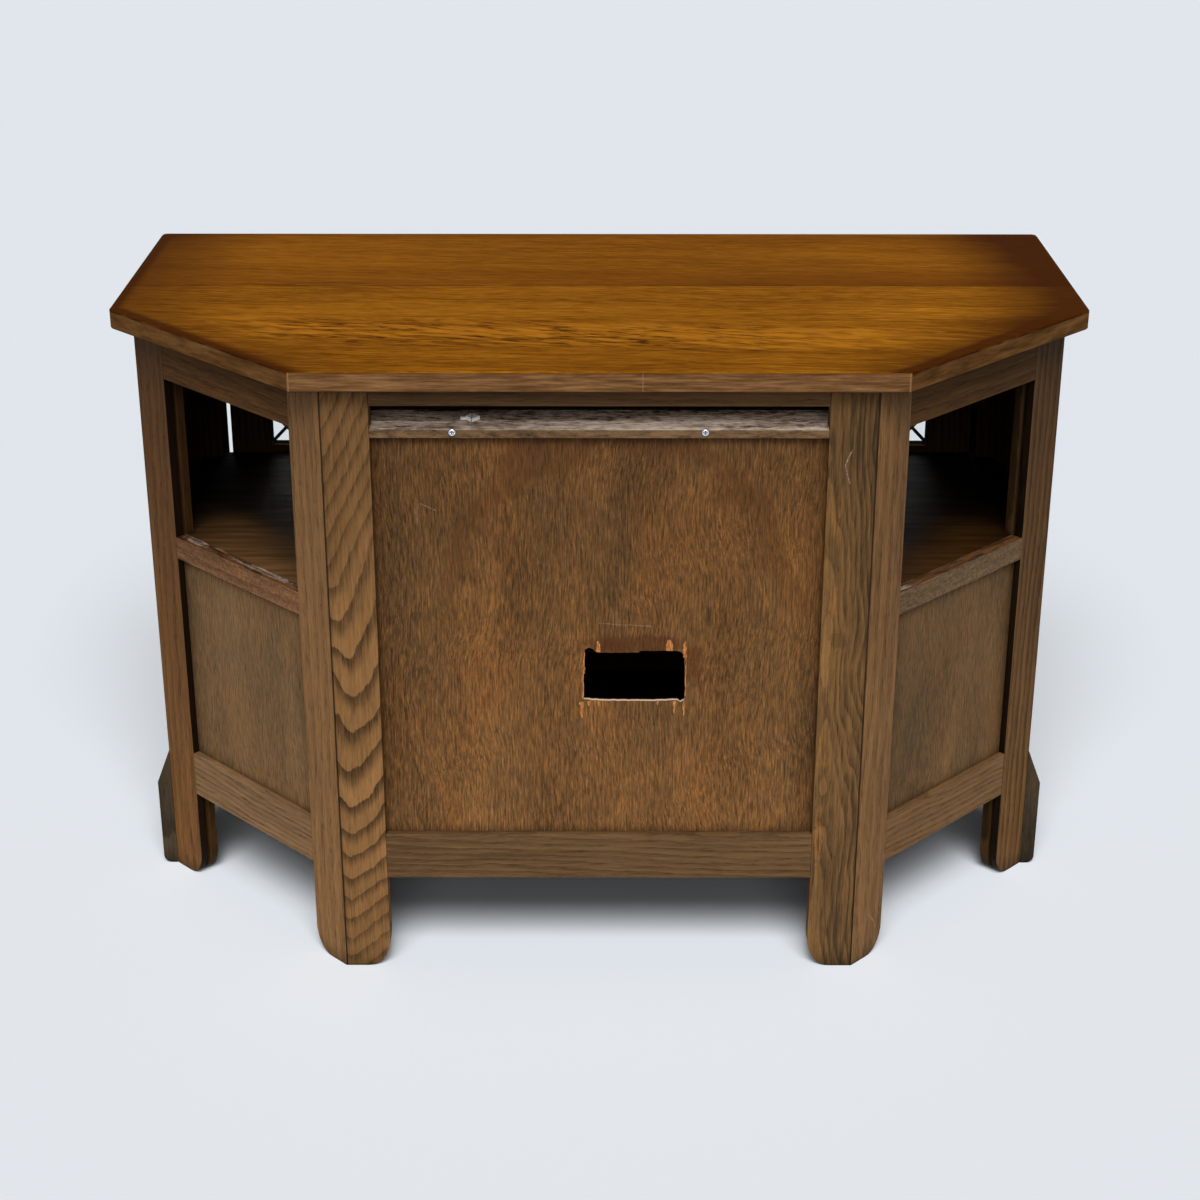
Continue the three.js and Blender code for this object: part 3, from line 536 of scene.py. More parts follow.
FIGURES = {
    "rear_stile_right": RIGHT_STILE,
    "rear_stile_left": LEFT_STILE,
    "cant_right_rear_stile": PALE,
    "cant_left_rear_stile": dict(PALE, marks=(foot_chip,)),
    "cant_right_corner_stile": CORNER,
    "cant_left_corner_stile": dict(
        CORNER, light=(114, 81, 46), dark=(67, 46, 24), rings_along=2, rings_across=100, ring_share=0.7,
    ),
    # The side stiles' faces towards the back get painted shade
    "side_right_stile": dict(BROWN, shaded_sides=(BACK,), inside=0.26, specular=0),
    "side_left_stile": dict(BROWN, shaded_sides=(BACK,), inside=0.1, specular=0),
    "rear_bottom_rail": dict(
        rings_along=4, rings_across=120, light=(110, 82, 53), dark=(66, 48, 30), ring_share=0.4,
    ),
    "rear_top_rail": dict(BROWN, light=(97, 69, 42), dark=(57, 41, 25)),
    "cant_right_top_rail": dict(BROWN, light=(97, 66, 36), dark=(54, 37, 20), specular=0.02),
    "cant_left_top_rail": dict(BROWN, light=(86, 60, 34), dark=(49, 34, 19), specular=0.02),
    "cant_right_bottom_rail": dict(light=(142, 108, 74), dark=(88, 66, 44), ring_share=0.4),
    "cant_left_bottom_rail": dict(light=(126, 94, 60), dark=(80, 58, 37), ring_share=0.4),
}
# Painted shade on the inner and side faces of the front posts and doors
INSIDE = dict(inside=0.12, specular=0)
# Foot blocks: their edges take a pale purplish painted highlight
FOOT = dict(
    light=(70, 58, 43), dark=(38, 32, 23), pore=(26, 21, 15), edge=(108, 94, 88), inside=1, rubbed_and_highlit_share=0.4,
)


def frame_seed(name):
    return 1 + sorted(nodes).index(name) * 0.731


def dress_frames():
    for name in nodes:
        upright = "stile" in name or "post" in name or name.startswith("foot_block")
        figure = FIGURES.get(name, {})
        if name.startswith("foot_block"):
            figure = FOOT
        elif name.startswith("front_post"):
            figure = dict(INSIDE, shaded_sides=(RIGHT if name.endswith("left") else -RIGHT,))
        elif name.startswith("door"):
            figure = dict(INSIDE, shaded_sides=(RIGHT, -RIGHT))
        elif name.endswith("corner_stile"):
            across = Board(name).across
            figure = dict(figure, shaded_sides=(across, -across), inside=tongue_side_shade)
        elif "stile" not in name and "rail" not in name or name == "rear_slot_rail":
            continue
        dress(name, oak_material(Board(name, upright), frame_seed(name), **figure))


# Plywood: short upright dashes of brown, orange and grey, over slow clouds
PLY_BACK = (
    (0, (62, 44, 27)), (0.3, (86, 60, 35)), (0.5, (103, 71, 41)), (0.7, (116, 80, 45)), (1, (146, 97, 52)),
)
PLY_CANT = (
    (0, (58, 46, 31)), (0.3, (82, 63, 42)), (0.5, (100, 75, 49)), (0.7, (114, 85, 55)), (1, (136, 101, 65)),
)


def ply_material(board, seed, colours, marks=(), top_shade=1, raw=False, level=1, contrast=1):
    t = new_material(board.name)
    place = board.place(t)
    moved = t.vector("ADD", place, (seed, seed, seed))
    bend = (t.noise(moved, 5) - 0.5) * 0.035
    bent = t.vector("ADD", moved, t.point(0, bend, bend))
    dash = t.streaks(bent, 50, 520, 4, 0.75)
    hair = t.streaks(bent, 60, 760, 2, 0.7)
    slow = t.streaks(moved, 4, 12, 3)
    tone = (dash - 0.5) * (2.3 * contrast) + (hair - 0.5) * (1.3 * contrast) + (slow - 0.5) * 0.9 + 0.5
    colour = t.scale(tone, *colours)
    warm = t.streaks(moved, 5, 13, 3)
    reddish = t.mix(1, colour, (1.1, 0.96, 0.84, 1), "MULTIPLY")
    colour = t.mix(t.ramp(warm, 0.48, 0.7, 0, 0.4), colour, reddish)
    greyish = t.mix(1, colour, (0.86, 0.93, 1.02, 1), "MULTIPLY")
    colour = t.mix(t.ramp(warm, 0.36, 0.52, 0.7, 0), colour, greyish)
    along, across, _ = t.parts(place)
    # Painted shade: the panel darkens towards its top and near its long edges, where the frame shades it
    reach = board.half[0]
    level = t.ramp(along, -reach, reach, 1.05 * level, top_shade * level, smooth=False)
    colour = t.shade(colour, level)
    side = board.half[1] - abs(across)
    colour = t.shade(colour, t.ramp(side, 0.008, 0.045, 0.74, 1))
    for mark in marks:
        colour = mark(t, board, place, colour, dash)
    # Painted shade on the inner face
    colour = inner_painted_shade(t, colour, (board.into,), 0.2)
    if raw:
        colour = raw_cut(t, board, place, colour)
    colour = corner_painted_shade(t, colour, 0.6, 12 * MM)
    return t.finish(colour, t.ramp(dash, 0.3, 0.7, 0.62, 0.52), 0.04, t.bump(dash, 0.3, 0.3 * MM))


# Sawn faces of plywood show pale wood, in layers
def raw_cut(t, board, place, colour):
    depth = t.parts(place)[2] + board.half[2]
    pale = t.mix(t.ramp(depth, 3.4 * MM, 3.8 * MM), (206, 180, 158), (34, 24, 16))
    face = abs(t.facing(board.into))
    return t.mix(t.ramp(face, 0.5, 0.75, 1, 0), colour, pale)


# Stains round the hole: their middle and half sizes in x and z, and strength. Scratches: two ends.
PANEL_BACK = 0.2535
STAINS = (
    (-0.037, 0.408, 0.056, 0.011, 0.55), (-0.01, 0.405, 0.022, 0.01, 0.35),
    (-0.104, 0.386, 0.01, 0.026, 0.55),
)
SCRATCHES = ((0.1935, 0.573, 0.195, 0.548), (0.191, 0.573, 0.174, 0.564), (0, 0.433, -0.06, 0.429))


# Dark stains beside the hole, a broad arch over it, and scratches
def hole_stain(t, board, place, colour, fibre):
    for x, z, wide, high, share in STAINS:
        mask = t.patch(place, board.spot(x, PANEL_BACK, z), (high, wide), 0.5, 70)
        colour = t.mix(mask * share, colour, (70, 38, 20))
    along, across = board.spot(-0.018, PANEL_BACK, 0.417)
    a, b, _ = t.parts(place)
    a, b = (a - along) / 0.235, (b - across) / 0.19
    far = t.math("SQRT", a * a + b * b)
    shake = (t.noise(place, 14, 4) - 0.5) * 0.45
    arch = t.ramp(abs(far + shake - 1), 0.02, 0.11, 0.42, 0)
    arch = arch * t.ramp(a, -0.1, 0.4) * t.ramp(fibre, 0.42, 0.58, 0.5, 1)
    colour = t.mix(arch, colour, (66, 36, 18))
    for x0, z0, x1, z1 in SCRATCHES:
        start, end = (x0, PANEL_BACK, z0), (x1, PANEL_BACK, z1)
        colour = scratch(t, board, place, colour, start, end, 0.9 * MM, 0.4, (150, 130, 110))
    return colour


def dress_panels():
    for name in nodes:
        if not name.endswith("_panel") or name == "rear_panel":
            continue
        board, seed = Board(name), frame_seed(name)
        if name.startswith("cant"):
            level = 0.86 if name.startswith("cant_left") else 1.08
            dress(name, ply_material(board, seed, PLY_CANT, level=level, contrast=0.6), bevel=0)
        else:
            dress(name, oak_material(board, seed, rings_along=6, wobble=4), bevel=0)


# The cant mid rails: the front arris is whole, and the upper face behind it is torn and split.
# Wounds: middle along the rail as a share of its half length, middle behind the arris and the two
# half sizes (the first as a share again), depth, all three in mm. Raw faces: the same, and strength.
CHIPPED = {
    "cant_right_mid_rail": dict(
        wounds=(
            (0.7, 11, 0.17, 5, 1.4), (0.45, 11.5, 0.24, 3, 4.6), (0.1, 13, 0.26, 2.8, 4.4),
            (-0.28, 11, 0.46, 4.5, 1.8), (-0.85, 9, 0.1, 3.5, 2),
        ),
        faces=((0.7, 10, 0.19, 6, 1), (-0.28, 10, 0.5, 5, 0.75)),
        light=(130, 91, 60), dark=(74, 50, 32),
    ),
    "cant_left_mid_rail": dict(
        wounds=(
            (0.86, 7, 0.16, 4, 1.6), (0.52, 3.5, 0.26, 1.4, 1.2), (0, 2, 0.16, 1.4, 1.2),
            (-0.5, 3, 0.2, 1.2, 0.8),
        ),
        faces=((0.88, 7, 0.16, 5, 0.7),),
        light=(106, 84, 60), dark=(62, 49, 36),
    ),
}
WOUND_STEP = 2.5 * MM
WOUND_ROWS = 24
# The torn strip of the rails, as a block: along, up from the middle, and in from the outer face
STRIP_LOW = Vector((-0.1139, 5.35 * MM, 8.7 * MM))
STRIP_HIGH = Vector((0.1139, 13.2 * MM, 14.8 * MM))


def chipped_rail(name):
    board = Board(name, False)
    mesh = nodes[name].data.copy()
    bm = bmesh.new()
    bm.from_mesh(mesh)
    bmesh.ops.remove_doubles(bm, verts=bm.verts, dist=0.01 * MM)
    middle = (STRIP_LOW + STRIP_HIGH) / 2 - Vector((0, 0, board.half[2]))
    shape = Matrix.Translation(middle) @ Matrix.Diagonal((*(STRIP_HIGH - STRIP_LOW), 1))
    place = Matrix.Translation(board.middle) @ board.turn().to_4x4() @ shape
    bmesh.ops.create_cube(bm, size=1, matrix=place)
    length, thick = board.half[0], 2 * board.half[2]
    cuts = [(board.along, -length + WOUND_STEP * k) for k in range(1, int(2 * length / WOUND_STEP))]
    cuts += [(board.into, thick * (k / WOUND_ROWS - 0.5)) for k in range(1, WOUND_ROWS)]
    for axis, reach in cuts:
        parts = bm.verts[:] + bm.edges[:] + bm.faces[:]
        spot = board.middle + axis * reach
        bmesh.ops.bisect_plane(bm, geom=parts, plane_co=spot, plane_no=axis, dist=1e-6)
    for vert in bm.verts:
        wound(board, vert)
    bmesh.ops.recalc_face_normals(bm, faces=bm.faces)
    bm.to_mesh(mesh)
    bm.free()
    figure = dict(
        PLAIN, marks=(raw_lip,), cloud_share=1.6, edge=(190, 150, 116), rubbed_and_highlit_share=0.7,
        light=CHIPPED[name]["light"], dark=CHIPPED[name]["dark"],
    )
    material = oak_material(board, frame_seed(name), **figure)
    add_piece(name + "_chipped", mesh, "cabinet", material, [name])


# Lowers a point of the upper face that lies in a wound
def wound(board, vert):
    offset = vert.co - board.middle
    behind = board.half[2] + offset.dot(board.into)
    if offset.dot(board.across) < board.half[1] - 0.1 * MM:
        return
    along = offset.dot(board.along)
    torn = 0.6 + 0.8 * abs(noise.noise(vert.co * 150))
    depth = 0
    for place, back, length, width, deep in CHIPPED[board.name]["wounds"]:
        a = (along / board.half[0] - place) / length
        b = (behind / MM - back + 2 * noise.noise(vert.co * 40)) / width
        depth = max(depth, deep * max(0, 1 - a * a) * max(0, 1 - b * b))
    vert.co -= board.across * depth * torn * MM


# Raw grey wood shows where the upper face is torn; the splits are dark
def raw_lip(t, board, place, colour, fibre):
    along, across, into = t.parts(place)
    behind = into + board.half[2]
    streak = t.streaks(place, 26, 260, 4, 0.7)
    raw = t.mix(t.ramp(streak, 0.38, 0.62), (60, 46, 36), (150, 134, 120))
    up = t.ramp(t.facing(board.across), 0.3, 0.6)
    face = t.point(along, behind, 0)
    brown = t.shade((96, 58, 23), t.ramp(streak, 0.36, 0.62, 0.25, 1))
    colour = t.mix(up * 0.75, colour, brown)
    blotch = t.ramp(t.streaks(place, 34, 120, 3), 0.46, 0.56, 0, 0.75)
    colour = t.mix(up * blotch, colour, (38, 23, 12))
    for middle, back, length, width, share in CHIPPED[board.name]["faces"]:
        middle, length = middle * board.half[0], length * board.half[0]
        mask = t.patch(face, (middle, back * MM), (length, width * MM), 0.7, 120)
        colour = t.mix(mask * up * share, colour, raw)
    below = board.half[1] - across
    split = up * t.ramp(below, 1.2 * MM, 2.4 * MM, 0, 0.9)
    colour = t.mix(split, colour, (30, 17, 8))
    speckle = t.ramp(t.noise(place, 230, 3, 0.7), 0.4, 0.6, 0.78, 1.16)
    return t.mix(up, t.shade(colour, speckle), colour)


# The back panel, cut again with the ragged hole that the saw left. Shares of the CAD hole's
# width and height, from the corner at the photograph's lower left.
HOLE_LOW = Vector((-0.0945, 0.338))
HOLE_HIGH = Vector((0.019, 0.4005))
HOLE_SHARES = (
    (0.021, 0.957), (0.032, 1.02), (0.07, 1.054), (0.108, 1.024), (0.147, 0.957), (0.344, 0.954),
    (0.554, 0.958), (0.564, 0.987), (0.854, 0.997), (0.941, 0.987), (0.99, 0.93), (0.996, 0.813),
    (1.006, 0.226), (1.003, 0.029), (0.96, -0.01), (0.93, 0.029), (0.666, 0.01), (0.177, 0.018),
    (0.011, 0.048), (0.006, 0.224), (0.021, 0.714),
)
SAW_STEP = 2.2 * MM
SAW_SHAKE = 0.3 * MM
SAW_SEED = 7


def hole_outline():
    size = HOLE_HIGH - HOLE_LOW
    corners = [Vector((HOLE_HIGH.x - a * size.x, HOLE_LOW.y + b * size.y)) for a, b in HOLE_SHARES]
    shake = random.Random(SAW_SEED)
    points = []
    for start, end in zip(corners, corners[1:] + corners[:1]):
        steps = max(1, round((end - start).length / SAW_STEP))
        for step in range(steps):
            jitter = Vector((shake.uniform(-1, 1), shake.uniform(-1, 1))) * SAW_SHAKE
            points.append(start.lerp(end, step / steps) + jitter)
    return points


# A flat sheet with a hole, from closed outlines in x and z, between two depths in y
def sheet_mesh(name, outlines, near, far):
    curve = bpy.data.curves.new(name, "CURVE")
    curve.dimensions = "2D"
    curve.fill_mode = "BOTH"
    curve.extrude = abs(far - near) / 2
    for outline in outlines:
        spline = curve.splines.new("POLY")
        spline.points.add(len(outline) - 1)
        for point, (x, z) in zip(spline.points, outline):
            point.co = (x, z, 0, 1)
        spline.use_cyclic_u = True
    holder = new_object(name, curve)
    bpy.context.view_layer.update()
    mesh = bpy.data.meshes.new_from_object(holder.evaluated_get(bpy.context.evaluated_depsgraph_get()))
    bpy.data.objects.remove(holder)
    mesh.transform(Matrix.Translation((0, (near + far) / 2, 0)) @ Matrix.Rotation(QUARTER, 4, "X"))
    return mesh


def add_piece(name, mesh, body, material, replaced=()):
    mesh.name = name
    piece = new_object(name, mesh)
    mesh.materials.clear()
    mesh.materials.append(material)
    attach(piece, body)
    if replaced:
        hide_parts(*replaced)
    return piece


def make_rear_panel():
    low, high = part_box("rear_panel")
    edge = [(low.x, low.z), (high.x, low.z), (high.x, high.z), (low.x, high.z)]
    mesh = sheet_mesh("back_panel", [edge, hole_outline()], low.y, high.y)
    material = ply_material(Board("rear_panel"), 3, PLY_BACK, (hole_stain,), top_shade=0.7, raw=True)
    add_piece("back_panel", mesh, "cabinet", material, ["rear_panel"])


# Torn veneer round the hole: x of its two edges, height where it starts and where it ends, in mm
TEARS = (
    (3.7, -1.9, 398.6, 412), (-72.5, -82.3, 400, 413.5), (-92, -96.8, 392, 412),
    (16.6, 22, 337.5, 317), (13.4, 9.3, 338.5, 332), (1.6, -0.4, 338.8, 331.5),
    (-81.8, -84.9, 338.6, 322.5), (-92.6, -95.6, 338.5, 320), (-64, -66, 338.5, 333),
    (15.6, 17.6, 372, 401), (16.8, 18.6, 342, 380), (-95, -96.2, 345, 398),
)
TEAR_STEPS = 9
TEAR_SEED = 11


def make_tears():
    bm = bmesh.new()
    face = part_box("rear_panel")[1].y
    shake = random.Random(TEAR_SEED)
    for tear in TEARS:
        add_tear(bm, face, shake, *tear)
    t = new_material("torn_veneer")
    streak = t.noise(t.vector("MULTIPLY", t.object_place(), (900, 900, 120)), 1, 3)
    colour = t.mix(t.ramp(streak, 0.35, 0.65), (132, 80, 40), (186, 128, 76))
    mesh = mesh_from(bm, "hole_tears", False)
    add_piece("hole_tears", mesh, "cabinet", t.finish(colour, 0.8, 0.05))


def add_tear(bm, face, shake, x0, x1, z0, z1):
    rows = []
    for step in range(TEAR_STEPS + 1):
        share = step / TEAR_STEPS
        centre = (x0 + x1) / 2 + shake.uniform(-0.5, 0.5)
        half = abs(x1 - x0) / 2 * (1 - share) ** 0.4 * shake.uniform(0.75, 1.05) + 0.1
        lift = (0.45 - 0.3 * share) * MM
        z = (z0 + (z1 - z0) * share) * MM
        edges = [((centre - half) * MM, 0), (centre * MM, lift), ((centre + half) * MM, 0)]
        rows.append([(x, face + y + 0.02 * MM, z) for x, y in edges])
    loft(bm, rows)


# The polished top: two planks, and shading that darkens towards its ends and canted edges
PLANK_JOINT = -0.0408
TOP_HALF = 0.55
TOP_FRONT = -0.284
TOP_CANT = 0.605
REAR_CORNER = 0.321
ARRIS_LOW = 0.7255
ARRIS_HIGH = 0.7275
TOP_COLOURS = (
    (0, (78, 42, 2)), (0.35, (108, 63, 5)), (0.55, (126, 76, 8)), (0.75, (141, 88, 13)), (1, (165, 108, 22)),
)
REAR_EDGE = ((0.3, (66, 43, 25)), (0.48, (97, 67, 40)), (0.62, (120, 86, 54)), (0.8, (140, 103, 69)))
CANT_EDGE = ((0.32, (60, 40, 19)), (0.48, (82, 55, 28)), (0.58, (94, 64, 35)), (0.75, (108, 76, 46)))


def top_material():
    t = new_material("top_board")
    place = t.object_place()
    x, y, z = t.parts(place)
    far = t.ramp(y, PLANK_JOINT - 0.3 * MM, PLANK_JOINT + 0.3 * MM, 1, 0)
    shift = far * 5.3
    bend = (t.noise(place, 5) - 0.5) * 0.03
    moved = t.point(x, y + x * 0.05 + bend + shift, z + shift)
    streak = t.streaks(moved, 9, 210, 4, 0.7)
    fleck = t.streaks(moved, 40, 460, 2, 0.7)
    slow = t.streaks(moved, 2.5, 16, 3)
    tone = (streak - 0.5) * 1.2 + (fleck - 0.5) * 1.3 + (slow - 0.5) * 0.9 + 0.5
    colour = t.scale(tone, *TOP_COLOURS)
    colour = t.mix(far * 0.35, colour, (108, 61, 4))
    near_joint = far * t.ramp(y, PLANK_JOINT - 0.09, PLANK_JOINT, 0, 0.35) * t.ramp(x, -0.3, -0.02, 1.9, 1)
    colour = t.mix(near_joint, colour, (88, 44, 3))
    colour = top_figure(t, x, y, colour)
    colour = t.mix(sunburst(t, place, x, y), colour, (54, 22, 0))
    dashes = t.ramp(t.streaks(place, 16, 210, 2, 0.6), 0.5, 0.6)
    dashes = dashes * t.ramp(y, PLANK_JOINT - 0.022, PLANK_JOINT - 0.004) * far * 0.6
    colour = t.mix(dashes, colour, (58, 26, 4))
    line = t.ramp(abs(y - PLANK_JOINT), 0.3 * MM, 1.3 * MM, 0.75, 0)
    broken = t.ramp(t.noise(place, 24), 0.45, 0.6, 0.25, 1)
    colour = t.mix(line * broken, colour, (52, 26, 8))
    colour = slab_edge(t, place, x, colour)
    return t.finish(colour, t.ramp(fleck, 0.3, 0.7, 0.46, 0.38), 0.001, t.bump(streak, 0.12, 0.3 * MM))


# Dark pores of the plank next to the camera, in slanting dashes
def top_figure(t, x, y, colour):
    slanted = t.point(x, y + x * 0.22, 0.37)
    dash = t.ramp(t.streaks(slanted, 36, 230, 2, 0.6), 0.53, 0.61)
    band = t.ramp(abs(y - (0.155 - x * 0.06)), 0.02, 0.07, 1, 0)
    ends = t.ramp(x, -0.3, -0.1) * t.ramp(x, 0.3, 0.4, 1, 0)
    colour = t.mix(dash * band * ends * 0.9, colour, (52, 22, 4))
    light = t.ramp(t.streaks(slanted, 20, 120), 0.5, 0.6)
    return t.mix(light * band * 0.5, colour, (176, 112, 26))


# The dark shading: wide along the cants, narrow at the ends and at the front
def sunburst(t, place, x, y):
    side = abs(x)
    cant = (TOP_CANT - (side + y)) * SLANT
    end = TOP_HALF - side
    lean = cant + t.ramp(end, 0, 0.2) * 0.05
    rough = (t.streaks(place, 6, 30) - 0.5) * 0.05
    wide = t.ramp(t.math("MINIMUM", lean, end) + rough, -0.01, 0.17, 0.86, 0)
    strong = t.ramp(x, -0.5, 0.3, 1.22, 0.74) * t.ramp(y, -0.25, 0, 1.22, 1)
    rim = t.ramp(t.math("MINIMUM", cant, end), 0, 0.02, 0.5, 0)
    front = t.ramp(y - TOP_FRONT, 0, 0.045, 0.22, 0)
    return t.math("MINIMUM", wide * strong + rim + front, 0.93)


# The edge of the slab: plain brown oak, greyer behind than along the cants
def slab_edge(t, place, x, colour):
    behind = t.ramp(t.facing(BACK), 0.85, 0.95)
    streak = t.streaks(place, 20, 300, 4, 0.65)
    rear = t.scale(streak, *REAR_EDGE)
    _, y, z = t.parts(place)
    smooth = t.streaks(t.point(abs(x) - y, z, x * 0.01), 14, 130, 4, 0.7)
    cant = t.scale(smooth, *CANT_EDGE)
    joints = t.math("PINGPONG", x + 0.045, 0.24)
    rear = t.mix(t.ramp(joints, 0.3 * MM, 0.9 * MM, 0.35, 0), rear, (150, 118, 84))
    arris = t.ramp(z, ARRIS_LOW, ARRIS_HIGH) * t.ramp(t.noise(place, 30, 3), 0.35, 0.55, 0.4, 0.9)
    cant = t.mix(arris, cant, (40, 16, 14))
    rear = t.mix(arris * 0.5, rear, (70, 34, 16))
    corner = t.ramp(abs(abs(x) - REAR_CORNER), 0.5 * MM, 1.5 * MM, 0.6, 0)
    edge = t.mix(corner, t.mix(behind, cant, rear), (142, 104, 70))
    return t.mix(t.ramp(t.facing(UP), 0.3, 0.55, 1, 0), colour, edge)


# Rough sawn rail below the slot: pale where it was cut, and paler still as painted light against the slot's
# shade; brown on its fascia
NAIL_HOLE = (-0.1285, 0, 0.6485)
SAWN_AND_PAINTED_LIGHT = ((0.34, (58, 45, 37)), (0.43, (140, 118, 101)), (0.52, (196, 172, 152)), (0.66, (244, 224, 206)))
FASCIA = ((0.32, (50, 37, 25)), (0.5, (91, 69, 48)), (0.68, (115, 88, 62)))


def ledge_material():
    board = Board("rear_slot_rail", False)
    t = new_material("rear_slot_rail")
    place = board.place(t)
    dash = t.streaks(place, 60, 210, 4, 0.78)
    broad = t.streaks(place, 8, 40, 3)
    tone = dash + (broad - 0.5) * 0.5
    up = t.ramp(t.facing(UP), 0.4, 0.8)
    colour = t.mix(up, t.scale(tone, *FASCIA), t.scale(tone, *SAWN_AND_PAINTED_LIGHT))
    along, _, depth = t.parts(place)
    # Painted light and shade on the upper face: dimmer at the front edge, brighter deeper in and towards -X
    painted_light = t.ramp(depth + board.half[2], 14 * MM, 30 * MM, 0.52, 1) * t.ramp(along, -0.2, 0.2, 1.15, 0.85)
    colour = t.mix(up, colour, t.shade(colour, painted_light))
    # Painted shadow: the far strip of the upper face, under the top rail, nearly black
    colour = t.mix(t.ramp(depth, 22 * MM, 25 * MM, 0, 0.93), colour, (20, 16, 13))
    hole = t.vector("DISTANCE", t.vector("MULTIPLY", t.object_place(), (1, 0, 1)), NAIL_HOLE)
    colour = t.mix(t.ramp(hole, 0.8 * MM, 1.5 * MM, 0.9, 0), colour, (16, 12, 9))
    colour = corner_painted_shade(t, colour, 0.4, 6 * MM)
    return t.finish(colour, 0.85, 0.05, t.bump(dash, 0.8, 0.8 * MM))


# Shelf and floor: reddish board, with painted shade that blackens it away from the open corners; its -X half
# is darker and duller
SHELF_CANT = TOP_CANT - 0.03


def shelf_material(name):
    t = new_material(name)
    place = t.object_place()
    x, y, _ = t.parts(place)
    side = abs(x)
    wall = (SHELF_CANT - (side + y)) * SLANT
    streak = t.streaks(place, 9, 120, 3, 0.6)
    colour = t.scale(streak, (0.3, (66, 44, 22)), (0.5, (84, 58, 31)), (0.7, (100, 71, 41)))
    cloudy = (t.noise(place, 9, 3) - 0.5) * 0.06
    # Painted shade, darker away from the openings
    colour = t.shade(colour, t.ramp(wall + cloudy, 0.02, 0.135, 1, 0.05))
    colour = t.shade(colour, t.ramp(side + cloudy, 0.4, 0.49, 1, 0.25))
    dull = t.mix(1, colour, (0.36, 0.3, 0.19, 1), "MULTIPLY")
    colour = t.mix(t.ramp(x, -0.1, 0.1, 1, 0), colour, dull)
    colour = corner_painted_shade(t, colour, 0.5, 8 * MM)
    return t.finish(colour, t.ramp(streak, 0.3, 0.7, 0.6, 0.5), 0.02)


# A plain material; its corners and hollows get painted shade
def plain_material(name, colour, roughness, metallic=0, specular=0.3, hollow_shade=0.8, reach=1.2 * MM):
    t = new_material(name)
    mottle = t.noise(t.object_place(), 160, 3)
    shade = t.mix(t.ramp(mottle, 0.3, 0.7, 0, 0.4), colour, [c * 0.7 for c in colour])
    shade = corner_painted_shade(t, shade, hollow_shade, reach)
    rough = t.ramp(mottle, 0.3, 0.7, roughness - 0.06, roughness + 0.1)
    return t.finish(shade, rough, specular, t.bump(mottle, 0.1, 0.2 * MM), metallic)


def glass_material():
    t = new_material("glass")
    values = {"Base Color": (252, 253, 252), "Roughness": 0, "Transmission Weight": 1, "IOR": 1.45}
    return t.surface("BsdfPrincipled", values)


# Rings of points, joined by faces and closed at both ends
def loft(bm, rows):
    rows = [[bm.verts.new(place) for place in row] for row in rows]
    for row, after in zip(rows, rows[1:]):
        for k in range(len(row)):
            n = (k + 1) % len(row)
            bm.faces.new((row[k], row[n], after[n], after[k]))
    bm.faces.new(rows[0])
    bm.faces.new(list(reversed(rows[-1])))


# A body of revolution about the y axis, from radius and y along its profile
def lathe(bm, centre, profile, sides, dent=None):
    rows = []
    for radius, y in profile:
        row = []
        for k in range(sides if radius else 1):
            angle = 2 * math.pi * k / sides
            a, b = radius * math.cos(angle), radius * math.sin(angle)
            sink = dent(a, b, y) if dent else 0
            row.append(bm.verts.new((centre.x + a, centre.y + y + sink, centre.z + b)))
        rows.append(row)
    for row, after in zip(rows, rows[1:]):
        for k in range(sides):
            n = (k + 1) % sides
            if len(row) == 1:
                bm.faces.new((row[0], after[k], after[n]))
            elif len(after) == 1:
                bm.faces.new((row[k], after[0], row[n]))
            else:
                bm.faces.new((row[k], after[k], after[n], row[n]))


def mesh_from(bm, name, smooth=True):
    bmesh.ops.recalc_face_normals(bm, faces=bm.faces)
    mesh = bpy.data.meshes.new(name)
    bm.to_mesh(mesh)
    bm.free()
    for polygon in mesh.polygons:
        polygon.use_smooth = smooth
    return mesh


# Radius and reach of a knob's profile, in millimetres from the stile's face
KNOB_SIDES = 48
KNOB_REACH = 24
KNOB_PROFILE = (
    (0, 24), (4, 23.9), (8, 23.2), (11, 21.7), (13, 19.6), (13.9, 17.2), (13.9, 15.6), (12.9, 14),
    (12.2, 13.6), (12.2, 13), (10, 11.6), (7.6, 10.2), (6.1, 8.6), (5.6, 7), (5.9, 5.4), (7, 4.2),
    (8.6, 3.4), (9.6, 2.9), (10, 2.2), (10, 0.3), (3, 0.3), (3, -10), (0, -10),
)


def make_knobs(brass):
    for side in SIDES:
        node = f"door_{side}_knob"
        low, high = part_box(node)
        centre = (low + high) / 2
        centre.y = low.y + KNOB_REACH * MM
        bm = bmesh.new()
        lathe(bm, centre, [(r * MM, -reach * MM) for r, reach in KNOB_PROFILE], KNOB_SIDES)
        add_piece(f"{side}_knob", mesh_from(bm, node), f"{side}_door", brass, [node])


# Pan head screws with a cross recess, in millimetres
SCREW_RADIUS = 4
SCREW_HEAD = 2.4
SCREW_BRIM = 1.1
SCREW_RINGS = 14
SCREW_SIDES = 96
RECESS_DEPTH = 1.3
RECESS_ARM = 0.62
RECESS_REACH = 2.5


def screw_profile():
    dome = []
    for step in range(SCREW_RINGS + 1):
        share = step / SCREW_RINGS
        rise = SCREW_BRIM + (SCREW_HEAD - SCREW_BRIM) * math.sqrt(1 - share ** 3)
        dome.append((SCREW_RADIUS * share, -rise))
    return dome + [(SCREW_RADIUS, -0.4), (SCREW_RADIUS - 0.3, 0), (1.5, 0), (1.5, 7), (0, 7)]


def screw_recess(a, b, y):
    if y > -MM:
        return 0
    arm = min(abs(a), abs(b)) / MM
    reach = max(abs(a), abs(b)) / MM
    inside = max(0, 1 - (arm / RECESS_ARM) ** 4)
    return RECESS_DEPTH * MM * inside * max(0, min(1, (RECESS_REACH - reach) / 0.7))


